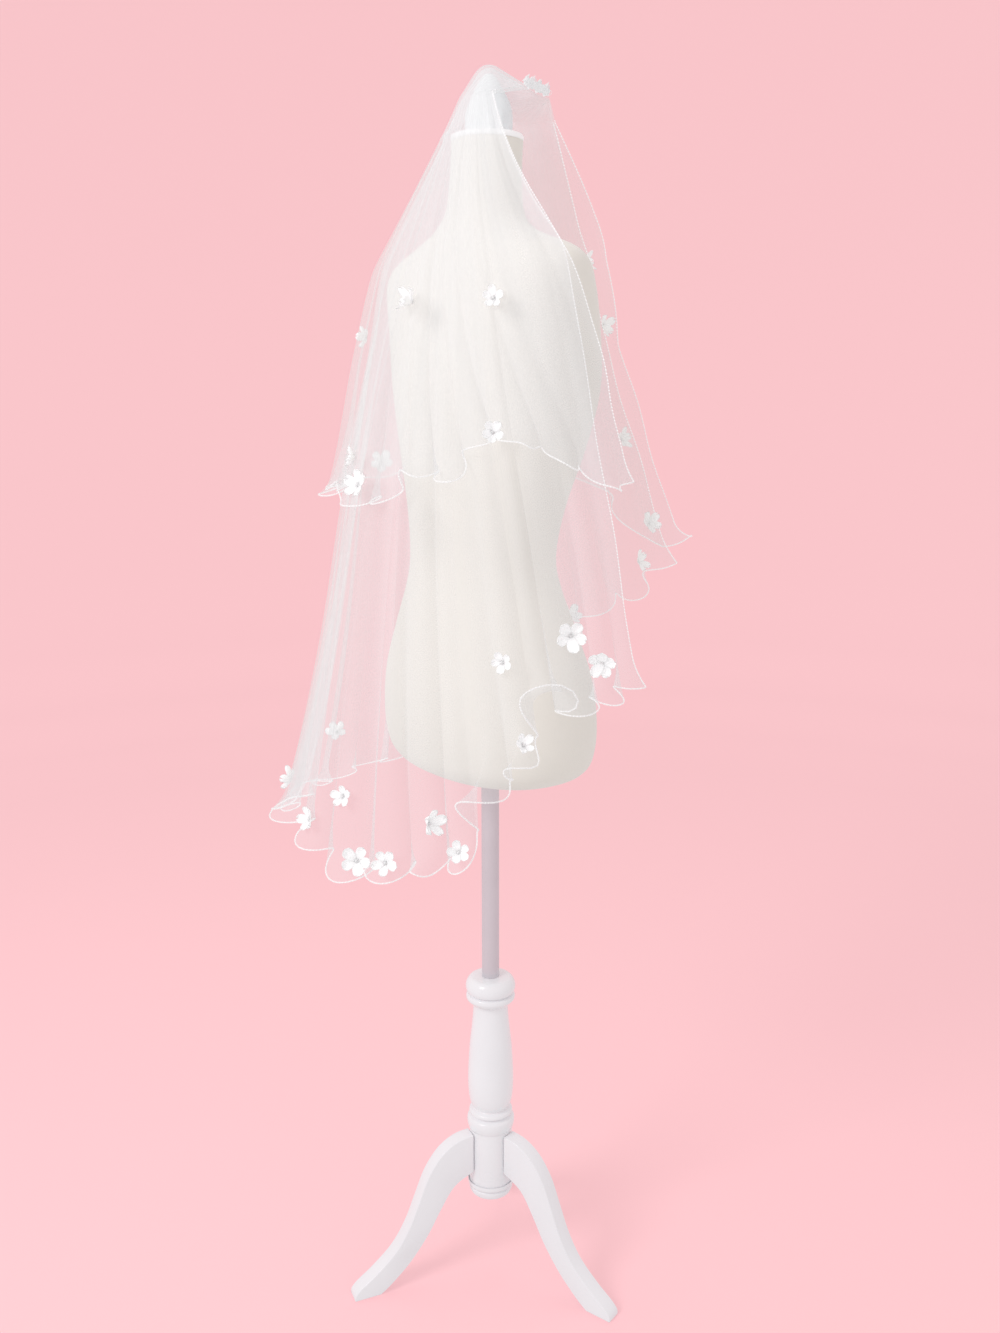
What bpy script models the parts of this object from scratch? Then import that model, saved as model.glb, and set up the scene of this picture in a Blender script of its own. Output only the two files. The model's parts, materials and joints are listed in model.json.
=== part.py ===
"""Two-tier bridal veil worn by a limbless dress form on a turned stand.

Metres, +Z up. The form faces -Y. Each tier of the veil is one open wall of cloth, gathered
in a heading beside the knob on the neck, and open down one side of the form's front.
"""
import math

import bmesh
import bpy
from mathutils import Vector

# Heights of the dress form and its stand
NECK_TOP = 1.543
SHOULDER_HEIGHT = 1.396
SHOULDER_WIDEST = 1.370
TORSO_BOTTOM = 0.750
COLUMN_TOP = 0.446
GAP = 0.0003

# Pole, column and legs
POLE_RADIUS = 0.012
LEG_THICKNESS = 0.022
LEG_BEARINGS = (-74.5, 45.5, 165.5)

# The veil: its wall, its corded edge and the bearing of its opening
TULLE = 0.001
CORD_RADIUS = 0.0010
CORD_GAP = 0.00035
OPENING_BEARING = -38.0
STEPS_PER_FOLD = 4

# How the cloth clears the body, and how it bends over the shoulders
BODY_CLEARANCE = 0.012
LEAST_CLEARANCE = 0.009
SHOULDER_ROUNDING = 0.020
SHOULDER_SOFTNESS = 0.012

# Share of the cloth's turn from its crown place to its hem place that the shoulder has
SHOULDER_SWEEP = 0.45
SWEEP_POWER = 0.8

# Height at which the belly of the upper tier has died away
BELLY_BOTTOM = 1.300

# Ruffles: their share where the crown ends, how fast that share comes in, how steeply the
# rest grows to the hem, how far they lean sideways and how far they drop at their outermost
CROWN_RUFFLE = 0.10
CROWN_RUFFLE_RATE = 6.0
RUFFLE_POWER = 3
RUFFLE_LEAN = 0.45
RUFFLE_DROP = 0.35

# Heading: the middles of its near and far ends, along the opening's line and across it, and
# how far the lower tier hangs below it
HEADING_NEAR = (0.042, 0.020)
HEADING_FAR = (0.074, -0.036)
HEADING_HEIGHT = 0.008
HEADING_DEPTH = 0.007
HEADING_LEVEL = 1.600
HEADING_TUCK = 0.0034

# Where the cloth leaves the crown: turn round the stand, radius, height
CROWN_RIM = (
    {"turn": 84, "radius": 0.040, "height": 1.582},
    {"turn": 130, "radius": 0.037, "height": 1.578},
    {"turn": 180, "radius": 0.037, "height": 1.577},
    {"turn": 235, "radius": 0.040, "height": 1.577},
    {"turn": 280, "radius": 0.060, "height": 1.575},
    {"turn": 324, "radius": 0.100, "height": 1.568},
)

# The inner shape of the cloth over the knob: radius and height
CROWN_SHAPE = (
    {"radius": 0.0000, "height": 1.6200},
    {"radius": 0.0080, "height": 1.6170},
    {"radius": 0.0150, "height": 1.6100},
    {"radius": 0.0230, "height": 1.5970},
    {"radius": 0.0310, "height": 1.5780},
    {"radius": 0.0360, "height": 1.5600},
)

# Hem of the lower tier, a row for each fold: turn round the stand from the middle of the
# opening, reach from the pole, height, and how far the ruffle stands out and in
LOWER_FOLDS = (
    {"turn": 36, "reach": 0.219, "height": 0.889, "ruffle": 0.004},
    {"turn": 48, "reach": 0.219, "height": 0.876, "ruffle": 0.011},
    {"turn": 60, "reach": 0.222, "height": 0.876, "ruffle": 0.013},
    {"turn": 71, "reach": 0.228, "height": 0.874, "ruffle": 0.012},
    {"turn": 80, "reach": 0.235, "height": 0.832, "ruffle": 0.007},
    {"turn": 88, "reach": 0.246, "height": 0.776, "ruffle": 0.006},
    {"turn": 96, "reach": 0.257, "height": 0.728, "ruffle": 0.007},
    {"turn": 105, "reach": 0.266, "height": 0.700, "ruffle": 0.012},
    {"turn": 116, "reach": 0.273, "height": 0.692, "ruffle": 0.013},
    {"turn": 128, "reach": 0.279, "height": 0.680, "ruffle": 0.014},
    {"turn": 141, "reach": 0.283, "height": 0.698, "ruffle": 0.014},
    {"turn": 155, "reach": 0.286, "height": 0.706, "ruffle": 0.014},
    {"turn": 169, "reach": 0.287, "height": 0.692, "ruffle": 0.014},
    {"turn": 183, "reach": 0.286, "height": 0.686, "ruffle": 0.015},
    {"turn": 197, "reach": 0.283, "height": 0.694, "ruffle": 0.014},
    {"turn": 211, "reach": 0.279, "height": 0.684, "ruffle": 0.014},
    {"turn": 225, "reach": 0.273, "height": 0.694, "ruffle": 0.014},
    {"turn": 238, "reach": 0.266, "height": 0.696, "ruffle": 0.013},
    {"turn": 251, "reach": 0.258, "height": 0.712, "ruffle": 0.013},
    {"turn": 263, "reach": 0.249, "height": 0.728, "ruffle": 0.012},
    {"turn": 274, "reach": 0.242, "height": 0.756, "ruffle": 0.011},
    {"turn": 285, "reach": 0.238, "height": 0.808, "ruffle": 0.011},
    {"turn": 297, "reach": 0.238, "height": 0.872, "ruffle": 0.011},
    {"turn": 310, "reach": 0.243, "height": 0.926, "ruffle": 0.012},
    {"turn": 325, "reach": 0.252, "height": 0.960, "ruffle": 0.010},
    {"turn": 341, "reach": 0.256, "height": 1.012, "ruffle": 0.003},
)

# Hem of the upper tier: stand_off is how far it hangs outside the lower tier, and belly how
# far it bulges beyond that round the shoulder
UPPER_FOLDS = (
    {"turn": 35, "stand_off": 0.017, "belly": 0.000, "height": 1.137, "ruffle": 0.003},
    {"turn": 49, "stand_off": 0.018, "belly": 0.000, "height": 1.130, "ruffle": 0.007},
    {"turn": 65, "stand_off": 0.019, "belly": 0.000, "height": 1.156, "ruffle": 0.007},
    {"turn": 81, "stand_off": 0.021, "belly": 0.000, "height": 1.182, "ruffle": 0.006},
    {"turn": 93, "stand_off": 0.021, "belly": 0.000, "height": 1.172, "ruffle": 0.008},
    {"turn": 103, "stand_off": 0.021, "belly": 0.000, "height": 1.142, "ruffle": 0.009},
    {"turn": 115, "stand_off": 0.021, "belly": 0.000, "height": 1.146, "ruffle": 0.009},
    {"turn": 128, "stand_off": 0.021, "belly": 0.000, "height": 1.118, "ruffle": 0.010},
    {"turn": 143, "stand_off": 0.021, "belly": 0.000, "height": 1.110, "ruffle": 0.011},
    {"turn": 159, "stand_off": 0.022, "belly": 0.000, "height": 1.122, "ruffle": 0.011},
    {"turn": 175, "stand_off": 0.022, "belly": 0.000, "height": 1.116, "ruffle": 0.010},
    {"turn": 192, "stand_off": 0.022, "belly": 0.000, "height": 1.122, "ruffle": 0.011},
    {"turn": 209, "stand_off": 0.021, "belly": 0.000, "height": 1.112, "ruffle": 0.010},
    {"turn": 226, "stand_off": 0.021, "belly": 0.000, "height": 1.122, "ruffle": 0.009},
    {"turn": 243, "stand_off": 0.022, "belly": 0.000, "height": 1.128, "ruffle": 0.009},
    {"turn": 260, "stand_off": 0.024, "belly": 0.002, "height": 1.120, "ruffle": 0.009},
    {"turn": 277, "stand_off": 0.026, "belly": 0.006, "height": 1.122, "ruffle": 0.009},
    {"turn": 293, "stand_off": 0.026, "belly": 0.012, "height": 1.108, "ruffle": 0.010},
    {"turn": 309, "stand_off": 0.026, "belly": 0.018, "height": 1.084, "ruffle": 0.010},
    {"turn": 325, "stand_off": 0.025, "belly": 0.023, "height": 1.044, "ruffle": 0.009},
    {"turn": 342, "stand_off": 0.024, "belly": 0.024, "height": 1.042, "ruffle": 0.003},
)

# The tiers: how far each lies off the crown and the body, and its rows of faces, counted
# 0 to 1 over the crown, 1 to 2 down to the shoulder and 2 to 3 down to the hem
TIERS = {
    "lower_tier": {
        "folds": LOWER_FOLDS,
        "layer": 0.0,
        "levels": (0.0, 0.30, 0.55, 0.78, 1.0, 1.5, 2.0, 2.25, 2.5, 2.7, 2.86, 3.0),
    },
    "upper_tier": {
        "folds": UPPER_FOLDS,
        "layer": 0.0026,
        "levels": (0.0, 0.30, 0.55, 0.78, 1.0, 1.5, 2.0, 2.4, 2.75, 3.0),
    },
}

# Flowers, a row for each: the fold it sits on, its level, its size across and its spin
UPPER_FLOWERS = (
    {"fold": 19.1, "level": 1.94, "across": 0.026, "spin": 10},
    {"fold": 2.4, "level": 2.24, "across": 0.024, "spin": 40},
    {"fold": 6.1, "level": 2.22, "across": 0.032, "spin": 0},
    {"fold": 4.1, "level": 2.88, "across": 0.026, "spin": 0},
    {"fold": 7.9, "level": 2.92, "across": 0.034, "spin": 50},
    {"fold": 8.1, "level": 2.80, "across": 0.024, "spin": 15},
    {"fold": 12.1, "level": 2.30, "across": 0.028, "spin": 30},
    {"fold": 13.1, "level": 2.92, "across": 0.032, "spin": 5},
    {"fold": 16.1, "level": 2.88, "across": 0.030, "spin": 20},
    {"fold": 19.4, "level": 2.20, "across": 0.030, "spin": 45},
    {"fold": 19.1, "level": 2.62, "across": 0.028, "spin": 60},
    {"fold": 19.4, "level": 2.92, "across": 0.032, "spin": 35},
)
LOWER_FLOWERS = (
    {"fold": 2.1, "level": 2.82, "across": 0.036, "spin": 10},
    {"fold": 1.1, "level": 2.93, "across": 0.032, "spin": 40},
    {"fold": 4.1, "level": 2.79, "across": 0.024, "spin": 0},
    {"fold": 3.9, "level": 2.95, "across": 0.024, "spin": 20},
    {"fold": 6.9, "level": 2.92, "across": 0.032, "spin": 50},
    {"fold": 6.1, "level": 2.97, "across": 0.026, "spin": 65},
    {"fold": 7.9, "level": 2.97, "across": 0.030, "spin": 15},
    {"fold": 8.9, "level": 2.97, "across": 0.034, "spin": 30},
    {"fold": 9.9, "level": 2.95, "across": 0.030, "spin": 5},
    {"fold": 9.1, "level": 2.87, "across": 0.026, "spin": 60},
    {"fold": 13.1, "level": 2.94, "across": 0.032, "spin": 45},
    {"fold": 15.1, "level": 2.90, "across": 0.030, "spin": 20},
    {"fold": 18.1, "level": 2.94, "across": 0.034, "spin": 35},
    {"fold": 20.1, "level": 2.90, "across": 0.030, "spin": 55},
    {"fold": 22.1, "level": 2.92, "across": 0.032, "spin": 0},
    {"fold": 24.1, "level": 2.90, "across": 0.030, "spin": 30},
)

# A flower from its foot on the tulle up to the petal tips, and in to its middle
FLOWER_RINGS = (
    {"radius": 0.15, "petals": 0.0, "lift": 0.00},
    {"radius": 1.00, "petals": 1.0, "lift": 0.42},
    {"radius": 0.25, "petals": 0.0, "lift": 0.30},
)
PETAL_CORNERS = (
    {"angle": 0.0, "reach": 0.48},
    {"angle": 22.0, "reach": 1.0},
    {"angle": 50.0, "reach": 1.0},
)
FLOWER_GAP = 0.0005

# Sections of the torso and neck: half width, half depth, and how far back the middle lies
TORSO_SECTIONS = (
    {"height": 0.7500, "width": 0.112, "depth": 0.074, "back": 0.002},
    {"height": 0.7530, "width": 0.130, "depth": 0.087, "back": 0.002},
    {"height": 0.7620, "width": 0.148, "depth": 0.099, "back": 0.002},
    {"height": 0.7800, "width": 0.161, "depth": 0.108, "back": 0.003},
    {"height": 0.8200, "width": 0.166, "depth": 0.113, "back": 0.004},
    {"height": 0.8800, "width": 0.160, "depth": 0.109, "back": 0.006},
    {"height": 0.9400, "width": 0.139, "depth": 0.096, "back": 0.009},
    {"height": 1.0000, "width": 0.116, "depth": 0.081, "back": 0.012},
    {"height": 1.0400, "width": 0.110, "depth": 0.077, "back": 0.013},
    {"height": 1.1000, "width": 0.118, "depth": 0.084, "back": 0.008},
    {"height": 1.1800, "width": 0.136, "depth": 0.102, "back": -0.003},
    {"height": 1.2500, "width": 0.147, "depth": 0.113, "back": -0.008},
    {"height": 1.3200, "width": 0.161, "depth": 0.101, "back": -0.002},
    {"height": 1.3650, "width": 0.173, "depth": 0.084, "back": 0.006},
    {"height": 1.3880, "width": 0.173, "depth": 0.070, "back": 0.009},
    {"height": 1.4040, "width": 0.153, "depth": 0.060, "back": 0.010},
    {"height": 1.4180, "width": 0.112, "depth": 0.054, "back": 0.010},
    {"height": 1.4330, "width": 0.072, "depth": 0.050, "back": 0.009},
    {"height": 1.4560, "width": 0.0480, "depth": 0.0450, "back": 0.007},
    {"height": 1.5000, "width": 0.0425, "depth": 0.0420, "back": 0.005},
    {"height": 1.5360, "width": 0.0425, "depth": 0.0420, "back": 0.003},
)
TORSO_SIDES = 28
TORSO_ROUNDNESS = 2.25

# Turned shapes, a row for each point down the profile
KNOB_PROFILE = (
    {"radius": 0.0000, "height": 1.6138},
    {"radius": 0.0070, "height": 1.6109},
    {"radius": 0.0135, "height": 1.6025},
    {"radius": 0.0205, "height": 1.5885},
    {"radius": 0.0275, "height": 1.5715},
    {"radius": 0.0300, "height": 1.5600},
    {"radius": 0.0285, "height": 1.5490},
    {"radius": 0.0240, "height": 1.5433},
    {"radius": 0.0000, "height": 1.5433},
)
COLUMN_PROFILE = (
    {"radius": 0.0000, "height": 0.4460},
    {"radius": 0.0240, "height": 0.4460},
    {"radius": 0.0308, "height": 0.4425},
    {"radius": 0.0342, "height": 0.4360},
    {"radius": 0.0345, "height": 0.4295},
    {"radius": 0.0325, "height": 0.4245},
    {"radius": 0.0292, "height": 0.4225},
    {"radius": 0.0335, "height": 0.4200},
    {"radius": 0.0338, "height": 0.4145},
    {"radius": 0.0295, "height": 0.4095},
    {"radius": 0.0250, "height": 0.4060},
    {"radius": 0.0243, "height": 0.3980},
    {"radius": 0.0262, "height": 0.3740},
    {"radius": 0.0298, "height": 0.3400},
    {"radius": 0.0320, "height": 0.3000},
    {"radius": 0.0316, "height": 0.2740},
    {"radius": 0.0290, "height": 0.2560},
    {"radius": 0.0245, "height": 0.2480},
    {"radius": 0.0298, "height": 0.2445},
    {"radius": 0.0305, "height": 0.2400},
    {"radius": 0.0268, "height": 0.2370},
    {"radius": 0.0325, "height": 0.2330},
    {"radius": 0.0335, "height": 0.2260},
    {"radius": 0.0322, "height": 0.2190},
    {"radius": 0.0308, "height": 0.2155},
    {"radius": 0.0305, "height": 0.2145},
    {"radius": 0.0305, "height": 0.1370},
    {"radius": 0.0325, "height": 0.1345},
    {"radius": 0.0325, "height": 0.1285},
    {"radius": 0.0288, "height": 0.1258},
    {"radius": 0.0310, "height": 0.1230},
    {"radius": 0.0285, "height": 0.1150},
    {"radius": 0.0190, "height": 0.1105},
    {"radius": 0.0000, "height": 0.1100},
)

# A leg's board from the side: distance out from the pole's axis, and height
LEG_TOP_EDGE = (
    {"out": 0.0308, "height": 0.2120},
    {"out": 0.0540, "height": 0.2080},
    {"out": 0.0780, "height": 0.1930},
    {"out": 0.0985, "height": 0.1650},
    {"out": 0.1130, "height": 0.1300},
    {"out": 0.1285, "height": 0.0925},
    {"out": 0.1490, "height": 0.0600},
    {"out": 0.1780, "height": 0.0335},
    {"out": 0.2000, "height": 0.0175},
    {"out": 0.2090, "height": 0.0080},
    {"out": 0.2100, "height": 0.0000},
)
LEG_UNDER_EDGE = (
    {"out": 0.1720, "height": 0.0000},
    {"out": 0.1545, "height": 0.0130},
    {"out": 0.1270, "height": 0.0390},
    {"out": 0.1010, "height": 0.0730},
    {"out": 0.0810, "height": 0.1080},
    {"out": 0.0600, "height": 0.1390},
    {"out": 0.0308, "height": 0.1550},
)

# Colours as seen in soft light
TULLE_WHITE = (0.93, 0.93, 0.94)
SATIN_WHITE = (0.95, 0.95, 0.95)
JERSEY_CREAM = (0.83, 0.81, 0.74)
PAINT_WHITE = (0.86, 0.84, 0.88)
POLE_GREY = (0.62, 0.60, 0.66)


def clear_scene():
    for item in list(bpy.data.objects):
        bpy.data.objects.remove(item)


def make_material(name, colour, roughness, metallic=0.0):
    material = bpy.data.materials.new(name)
    material.use_nodes = True
    shader = material.node_tree.nodes["Principled BSDF"]
    shader.inputs["Base Color"].default_value = (*colour, 1.0)
    shader.inputs["Roughness"].default_value = roughness
    shader.inputs["Metallic"].default_value = metallic
    return material


def add_object(name, data, collection, parent, colour, roughness, metallic=0.0):
    """Link a new object for this data, with a material of its own."""
    made = bpy.data.objects.new(name, data)
    collection.objects.link(made)
    made.parent = parent
    data.materials.append(make_material(name, colour, roughness, metallic))
    return made


def catmull(before, start, end, after, share):
    """A smooth curve through start and end, led by the values on either side."""
    square = share * share
    cube = square * share
    return 0.5 * (
        2 * start
        + (end - before) * share
        + (2 * before - 5 * start + 4 * end - after) * square
        + (3 * start - 3 * end + after - before) * cube
    )


def smooth_column(rows, column, place):
    """A column of a table read at any place between its rows."""
    last = len(rows) - 1
    place = min(max(place, 0.0), float(last))
    start = min(int(place), last - 1)
    values = [rows[min(max(start + step, 0), last)][column] for step in (-1, 0, 1, 2)]
    return catmull(*values, place - start)


def straight_column(rows, key, column, value):
    """A column read in straight lines where another column has this value."""
    if value <= rows[0][key]:
        return rows[0][column]
    for first, second in zip(rows, rows[1:]):
        if value <= second[key]:
            share = (value - first[key]) / (second[key] - first[key])
            return first[column] + (second[column] - first[column]) * share
    return rows[-1][column]


def round_stand(turn, radius, height):
    """A point at a turn in degrees from the middle of the opening."""
    bearing = math.radians(OPENING_BEARING - turn)
    return Vector((radius * math.sin(bearing), -radius * math.cos(bearing), height))


def torso_radius(turn, height):
    """How far the torso reaches from the pole's axis in this direction."""
    width = straight_column(TORSO_SECTIONS, "height", "width", height)
    depth = straight_column(TORSO_SECTIONS, "height", "depth", height)
    back = straight_column(TORSO_SECTIONS, "height", "back", height)
    way = round_stand(turn, 1.0, 0.0)
    power = TORSO_ROUNDNESS
    radius = (abs(way.x / width) ** power + abs(way.y / depth) ** power) ** (-1.0 / power)
    return radius + back * way.y


def crown_height(radius):
    """Height of the cloth's inner side over the knob, falling away outside it."""
    if radius >= CROWN_SHAPE[-1]["radius"]:
        return 0.0
    return straight_column(CROWN_SHAPE, "radius", "height", radius)


def heading_point(share, level=HEADING_LEVEL):
    """A point along the gathered heading, from its near end to its far end."""
    along = HEADING_NEAR[0] + (HEADING_FAR[0] - HEADING_NEAR[0]) * share
    across = HEADING_NEAR[1] + (HEADING_FAR[1] - HEADING_NEAR[1]) * share
    return round_stand(0.0, along, level) + round_stand(90.0, across, 0.0)


def tent_radius(turn, height):
    """The lower tier with no ruffle: straight to the shoulder, then straight to the hem."""
    top_radius = straight_column(CROWN_RIM, "turn", "radius", turn)
    top_height = straight_column(CROWN_RIM, "turn", "height", turn)
    hem_radius = straight_column(LOWER_FOLDS, "turn", "reach", turn)
    hem_height = straight_column(LOWER_FOLDS, "turn", "height", turn)
    slope = (hem_radius - top_radius) / (top_height - hem_height)
    direct = top_radius + slope * (top_height - SHOULDER_HEIGHT)
    body = torso_radius(turn, SHOULDER_WIDEST) + BODY_CLEARANCE
    over = direct + 0.5 * (body - direct + math.hypot(body - direct, SHOULDER_SOFTNESS))
    above = (over - top_radius) / (top_height - SHOULDER_HEIGHT)
    below = (hem_radius - over) / (SHOULDER_HEIGHT - hem_height)
    drop = SHOULDER_HEIGHT - height
    if drop < -SHOULDER_ROUNDING:
        radius = over + above * drop
    elif drop > SHOULDER_ROUNDING:
        radius = over + below * drop
    else:
        bend = (below - above) / (4.0 * SHOULDER_ROUNDING)
        lift = 0.25 * (below - above) * SHOULDER_ROUNDING
        radius = over + 0.5 * (above + below) * drop + bend * drop * drop + lift
    if height > NECK_TOP:
        return radius
    return max(radius, torso_radius(turn, height) + LEAST_CLEARANCE)


def crown_point(tier, share, leave, part):
    """A point of the cloth between the heading and where it leaves the crown."""
    under = HEADING_LEVEL - 0.5 * HEADING_HEIGHT - HEADING_TUCK
    start = heading_point(share, under + tier["layer"])
    point = start.lerp(leave, part)
    radius = max(math.hypot(point.x, point.y) - tier["layer"], 0.0)
    over_knob = crown_height(radius) + tier["layer"]
    point.z = max(point.z, over_knob)
    return point


def cloth_point(tier, fold, level):
    """A point in the middle of a tier's wall, at a place along its folds and a level down."""
    folds = tier["folds"]
    last = len(folds) - 1
    turn = smooth_column(folds, "turn", fold)
    hem_height = smooth_column(folds, "height", fold)
    ruffle = smooth_column(folds, "ruffle", fold)
    share = min(max(fold / last, 0.0), 1.0)
    spread = (turn - folds[0]["turn"]) / (folds[-1]["turn"] - folds[0]["turn"])
    first_turn = CROWN_RIM[0]["turn"]
    crown_turn = first_turn + (CROWN_RIM[-1]["turn"] - first_turn) * spread
    rim_radius = straight_column(CROWN_RIM, "turn", "radius", crown_turn) + tier["layer"]
    rim_height = straight_column(CROWN_RIM, "turn", "height", crown_turn) + tier["layer"]
    if level < 1.0:
        return crown_point(tier, share, round_stand(crown_turn, rim_radius, rim_height), level)
    down = level - 2.0
    if down < 0.0:
        height = SHOULDER_HEIGHT - (rim_height - SHOULDER_HEIGHT) * down
        sweep = SHOULDER_SWEEP * (1.0 + down) ** SWEEP_POWER
    else:
        height = SHOULDER_HEIGHT + (hem_height - SHOULDER_HEIGHT) * down
        sweep = SHOULDER_SWEEP + (1.0 - SHOULDER_SWEEP) * down
    part = (rim_height - height) / (rim_height - hem_height)
    here = crown_turn + (turn - crown_turn) * sweep
    radius = tent_radius(here, height) + tier["layer"]
    if "stand_off" in folds[0]:
        radius += (smooth_column(folds, "stand_off", fold) - tier["layer"]) * part
        bulge = min((rim_height - height) / (rim_height - BELLY_BOTTOM), 1.0)
        radius += smooth_column(folds, "belly", fold) * math.sin(math.pi * bulge)
    crown_share = CROWN_RUFFLE * min(part * CROWN_RUFFLE_RATE, 1.0)
    swing = ruffle * (crown_share + (1.0 - CROWN_RUFFLE) * part ** RUFFLE_POWER)
    phase = 2.0 * math.pi * fold
    radius += swing * math.cos(phase)
    here += math.degrees(RUFFLE_LEAN * swing * math.sin(phase) / radius)
    height -= RUFFLE_DROP * swing * math.cos(phase) * part
    return round_stand(here, radius, height)


def build_tier(name, collection, parent):
    """One wall of tulle, from the heading to the hem."""
    tier = TIERS[name]
    steps = (len(tier["folds"]) - 1) * STEPS_PER_FOLD
    shape = bmesh.new()
    grid = []
    for level in tier["levels"]:
        places = [step / STEPS_PER_FOLD for step in range(steps + 1)]
        grid.append([shape.verts.new(cloth_point(tier, fold, level)) for fold in places])
    for upper, lower in zip(grid, grid[1:]):
        for step in range(steps):
            shape.faces.new((upper[step], lower[step], lower[step + 1], upper[step + 1]))
    mesh = bpy.data.meshes.new(name)
    shape.to_mesh(mesh)
    shape.free()
    made = add_object(name, mesh, collection, parent, TULLE_WHITE, 0.8)
    wall = made.modifiers.new("wall", "SOLIDIFY")
    wall.thickness = TULLE
    wall.offset = 0.0
    return made


def edge_route(tier):
    """The free edge of a tier as places on it: down one front edge, along, and up the other."""
    last = len(tier["folds"]) - 1
    sides = [level for level in tier["levels"] if 1.0 < level < 3.0]
    route = [(0.0, level) for level in sides]
    route += [(step / STEPS_PER_FOLD, 3.0) for step in range(last * STEPS_PER_FOLD + 1)]
    route += [(float(last), level) for level in reversed(sides)]
    return route


def outside_edge(tier, places, index, away):
    """The point of the edge moved off the cloth, square to the edge and in its plane."""
    fold, level = places[index]
    last = len(tier["folds"]) - 1
    here = cloth_point(tier, fold, level)
    before = cloth_point(tier, *places[max(index - 1, 0)])
    after = cloth_point(tier, *places[min(index + 1, len(places) - 1)])
    outward = Vector()
    nudge = 0.03
    if level == 3.0:
        outward += (here - cloth_point(tier, fold, level - nudge)).normalized()
    if fold == 0.0:
        outward += (here - cloth_point(tier, nudge, level)).normalized()
    if fold == last:
        outward += (here - cloth_point(tier, last - nudge, level)).normalized()
    if 0.0 < fold < last or level < 3.0:
        along = (after - before).normalized()
        outward -= along * outward.dot(along)
    return here + outward.normalized() * away


def build_hem_cord(name, tier_name, collection, parent):
    """The corded edge, just outside the tier's two front edges and its hem."""
    tier = TIERS[tier_name]
    places = edge_route(tier)
    away = CORD_RADIUS + CORD_GAP
    curve = bpy.data.curves.new(name, "CURVE")
    curve.dimensions = "3D"
    curve.bevel_depth = CORD_RADIUS
    curve.bevel_resolution = 0
    curve.use_fill_caps = True
    spline = curve.splines.new("POLY")
    spline.points.add(len(places) - 1)
    for index, point in enumerate(spline.points):
        point.co = (*outside_edge(tier, places, index, away), 1.0)
    return add_object(name, curve, collection, parent, SATIN_WHITE, 0.4)


def build_heading(collection, parent):
    """The gathered band that both tiers are stitched into."""
    rings = []
    near = heading_point(0.0)
    far = heading_point(1.0)
    half_depth = (far - near).cross(Vector((0.0, 0.0, 1.0))).normalized() * HEADING_DEPTH / 2
    half_height = Vector((0.0, 0.0, HEADING_HEIGHT / 2))
    for end in (near, far):
        rings.append([
            end - half_depth - half_height,
            end + half_depth - half_height,
            end + half_depth + half_height,
            end - half_depth + half_height,
        ])
    mesh = loft("heading", rings)
    made = add_object("heading", mesh, collection, parent, SATIN_WHITE, 0.5)
    bevel = made.modifiers.new("bevel", "BEVEL")
    bevel.width = 0.0015
    bevel.segments = 1
    bevel.limit_method = "ANGLE"
    return made


def facet_frame(tier, fold, level):
    """The middle of the face nearest a place on a tier, with its three directions."""
    column = int(fold * STEPS_PER_FOLD)
    levels = tier["levels"]
    row = max(index for index, value in enumerate(levels[:-1]) if value <= level)
    corners = [
        cloth_point(tier, (column + across) / STEPS_PER_FOLD, levels[row + down])
        for across, down in ((0, 0), (1, 0), (1, 1), (0, 1))
    ]
    place = (level - levels[row]) / (levels[row + 1] - levels[row])
    top = (corners[0] + corners[1]) / 2
    bottom = (corners[3] + corners[2]) / 2
    middle = top.lerp(bottom, place)
    out = (corners[2] - corners[0]).cross(corners[3] - corners[1]).normalized()
    if out.dot(Vector((middle.x, middle.y, 0.0))) < 0:
        out.negate()
    down = (bottom - top).normalized()
    side = down.cross(out).normalized()
    return middle, out, side, out.cross(side)


def build_flower(name, tier_name, row, collection, parent):
    """A five-petal flower sewn on by its middle, its petals standing off the tulle."""
    middle, out, side, down = facet_frame(TIERS[tier_name], row["fold"], row["level"])
    base = middle + out * (0.5 * TULLE + FLOWER_GAP)
    reach = row["across"] / 2
    rings = []
    for ring in FLOWER_RINGS:
        points = []
        for petal in range(5):
            for corner in PETAL_CORNERS:
                angle = math.radians(72 * petal + corner["angle"] + row["spin"])
                narrow = 1.0 - (1.0 - corner["reach"]) * ring["petals"]
                radius = ring["radius"] * reach * narrow
                flat = side * (radius * math.cos(angle)) + down * (radius * math.sin(angle))
                points.append(base + flat + out * (ring["lift"] * reach))
        rings.append(points)
    mesh = loft(name, rings)
    return add_object(name, mesh, collection, parent, SATIN_WHITE, 0.45)


def loft(name, rings):
    """A closed body through rings of equal count, capped at both ends."""
    shape = bmesh.new()
    verts = [[shape.verts.new(point) for point in ring] for ring in rings]
    for lower, upper in zip(verts, verts[1:]):
        for index, vert in enumerate(lower):
            after = (index + 1) % len(lower)
            shape.faces.new((vert, lower[after], upper[after], upper[index]))
    shape.faces.new(list(reversed(verts[0])))
    shape.faces.new(verts[-1])
    bmesh.ops.recalc_face_normals(shape, faces=shape.faces)
    mesh = bpy.data.meshes.new(name)
    shape.to_mesh(mesh)
    shape.free()
    return mesh


def smooth_mesh(mesh, angle=40.0):
    mesh.shade_smooth()
    mesh.set_sharp_from_angle(angle=math.radians(angle))


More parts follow.
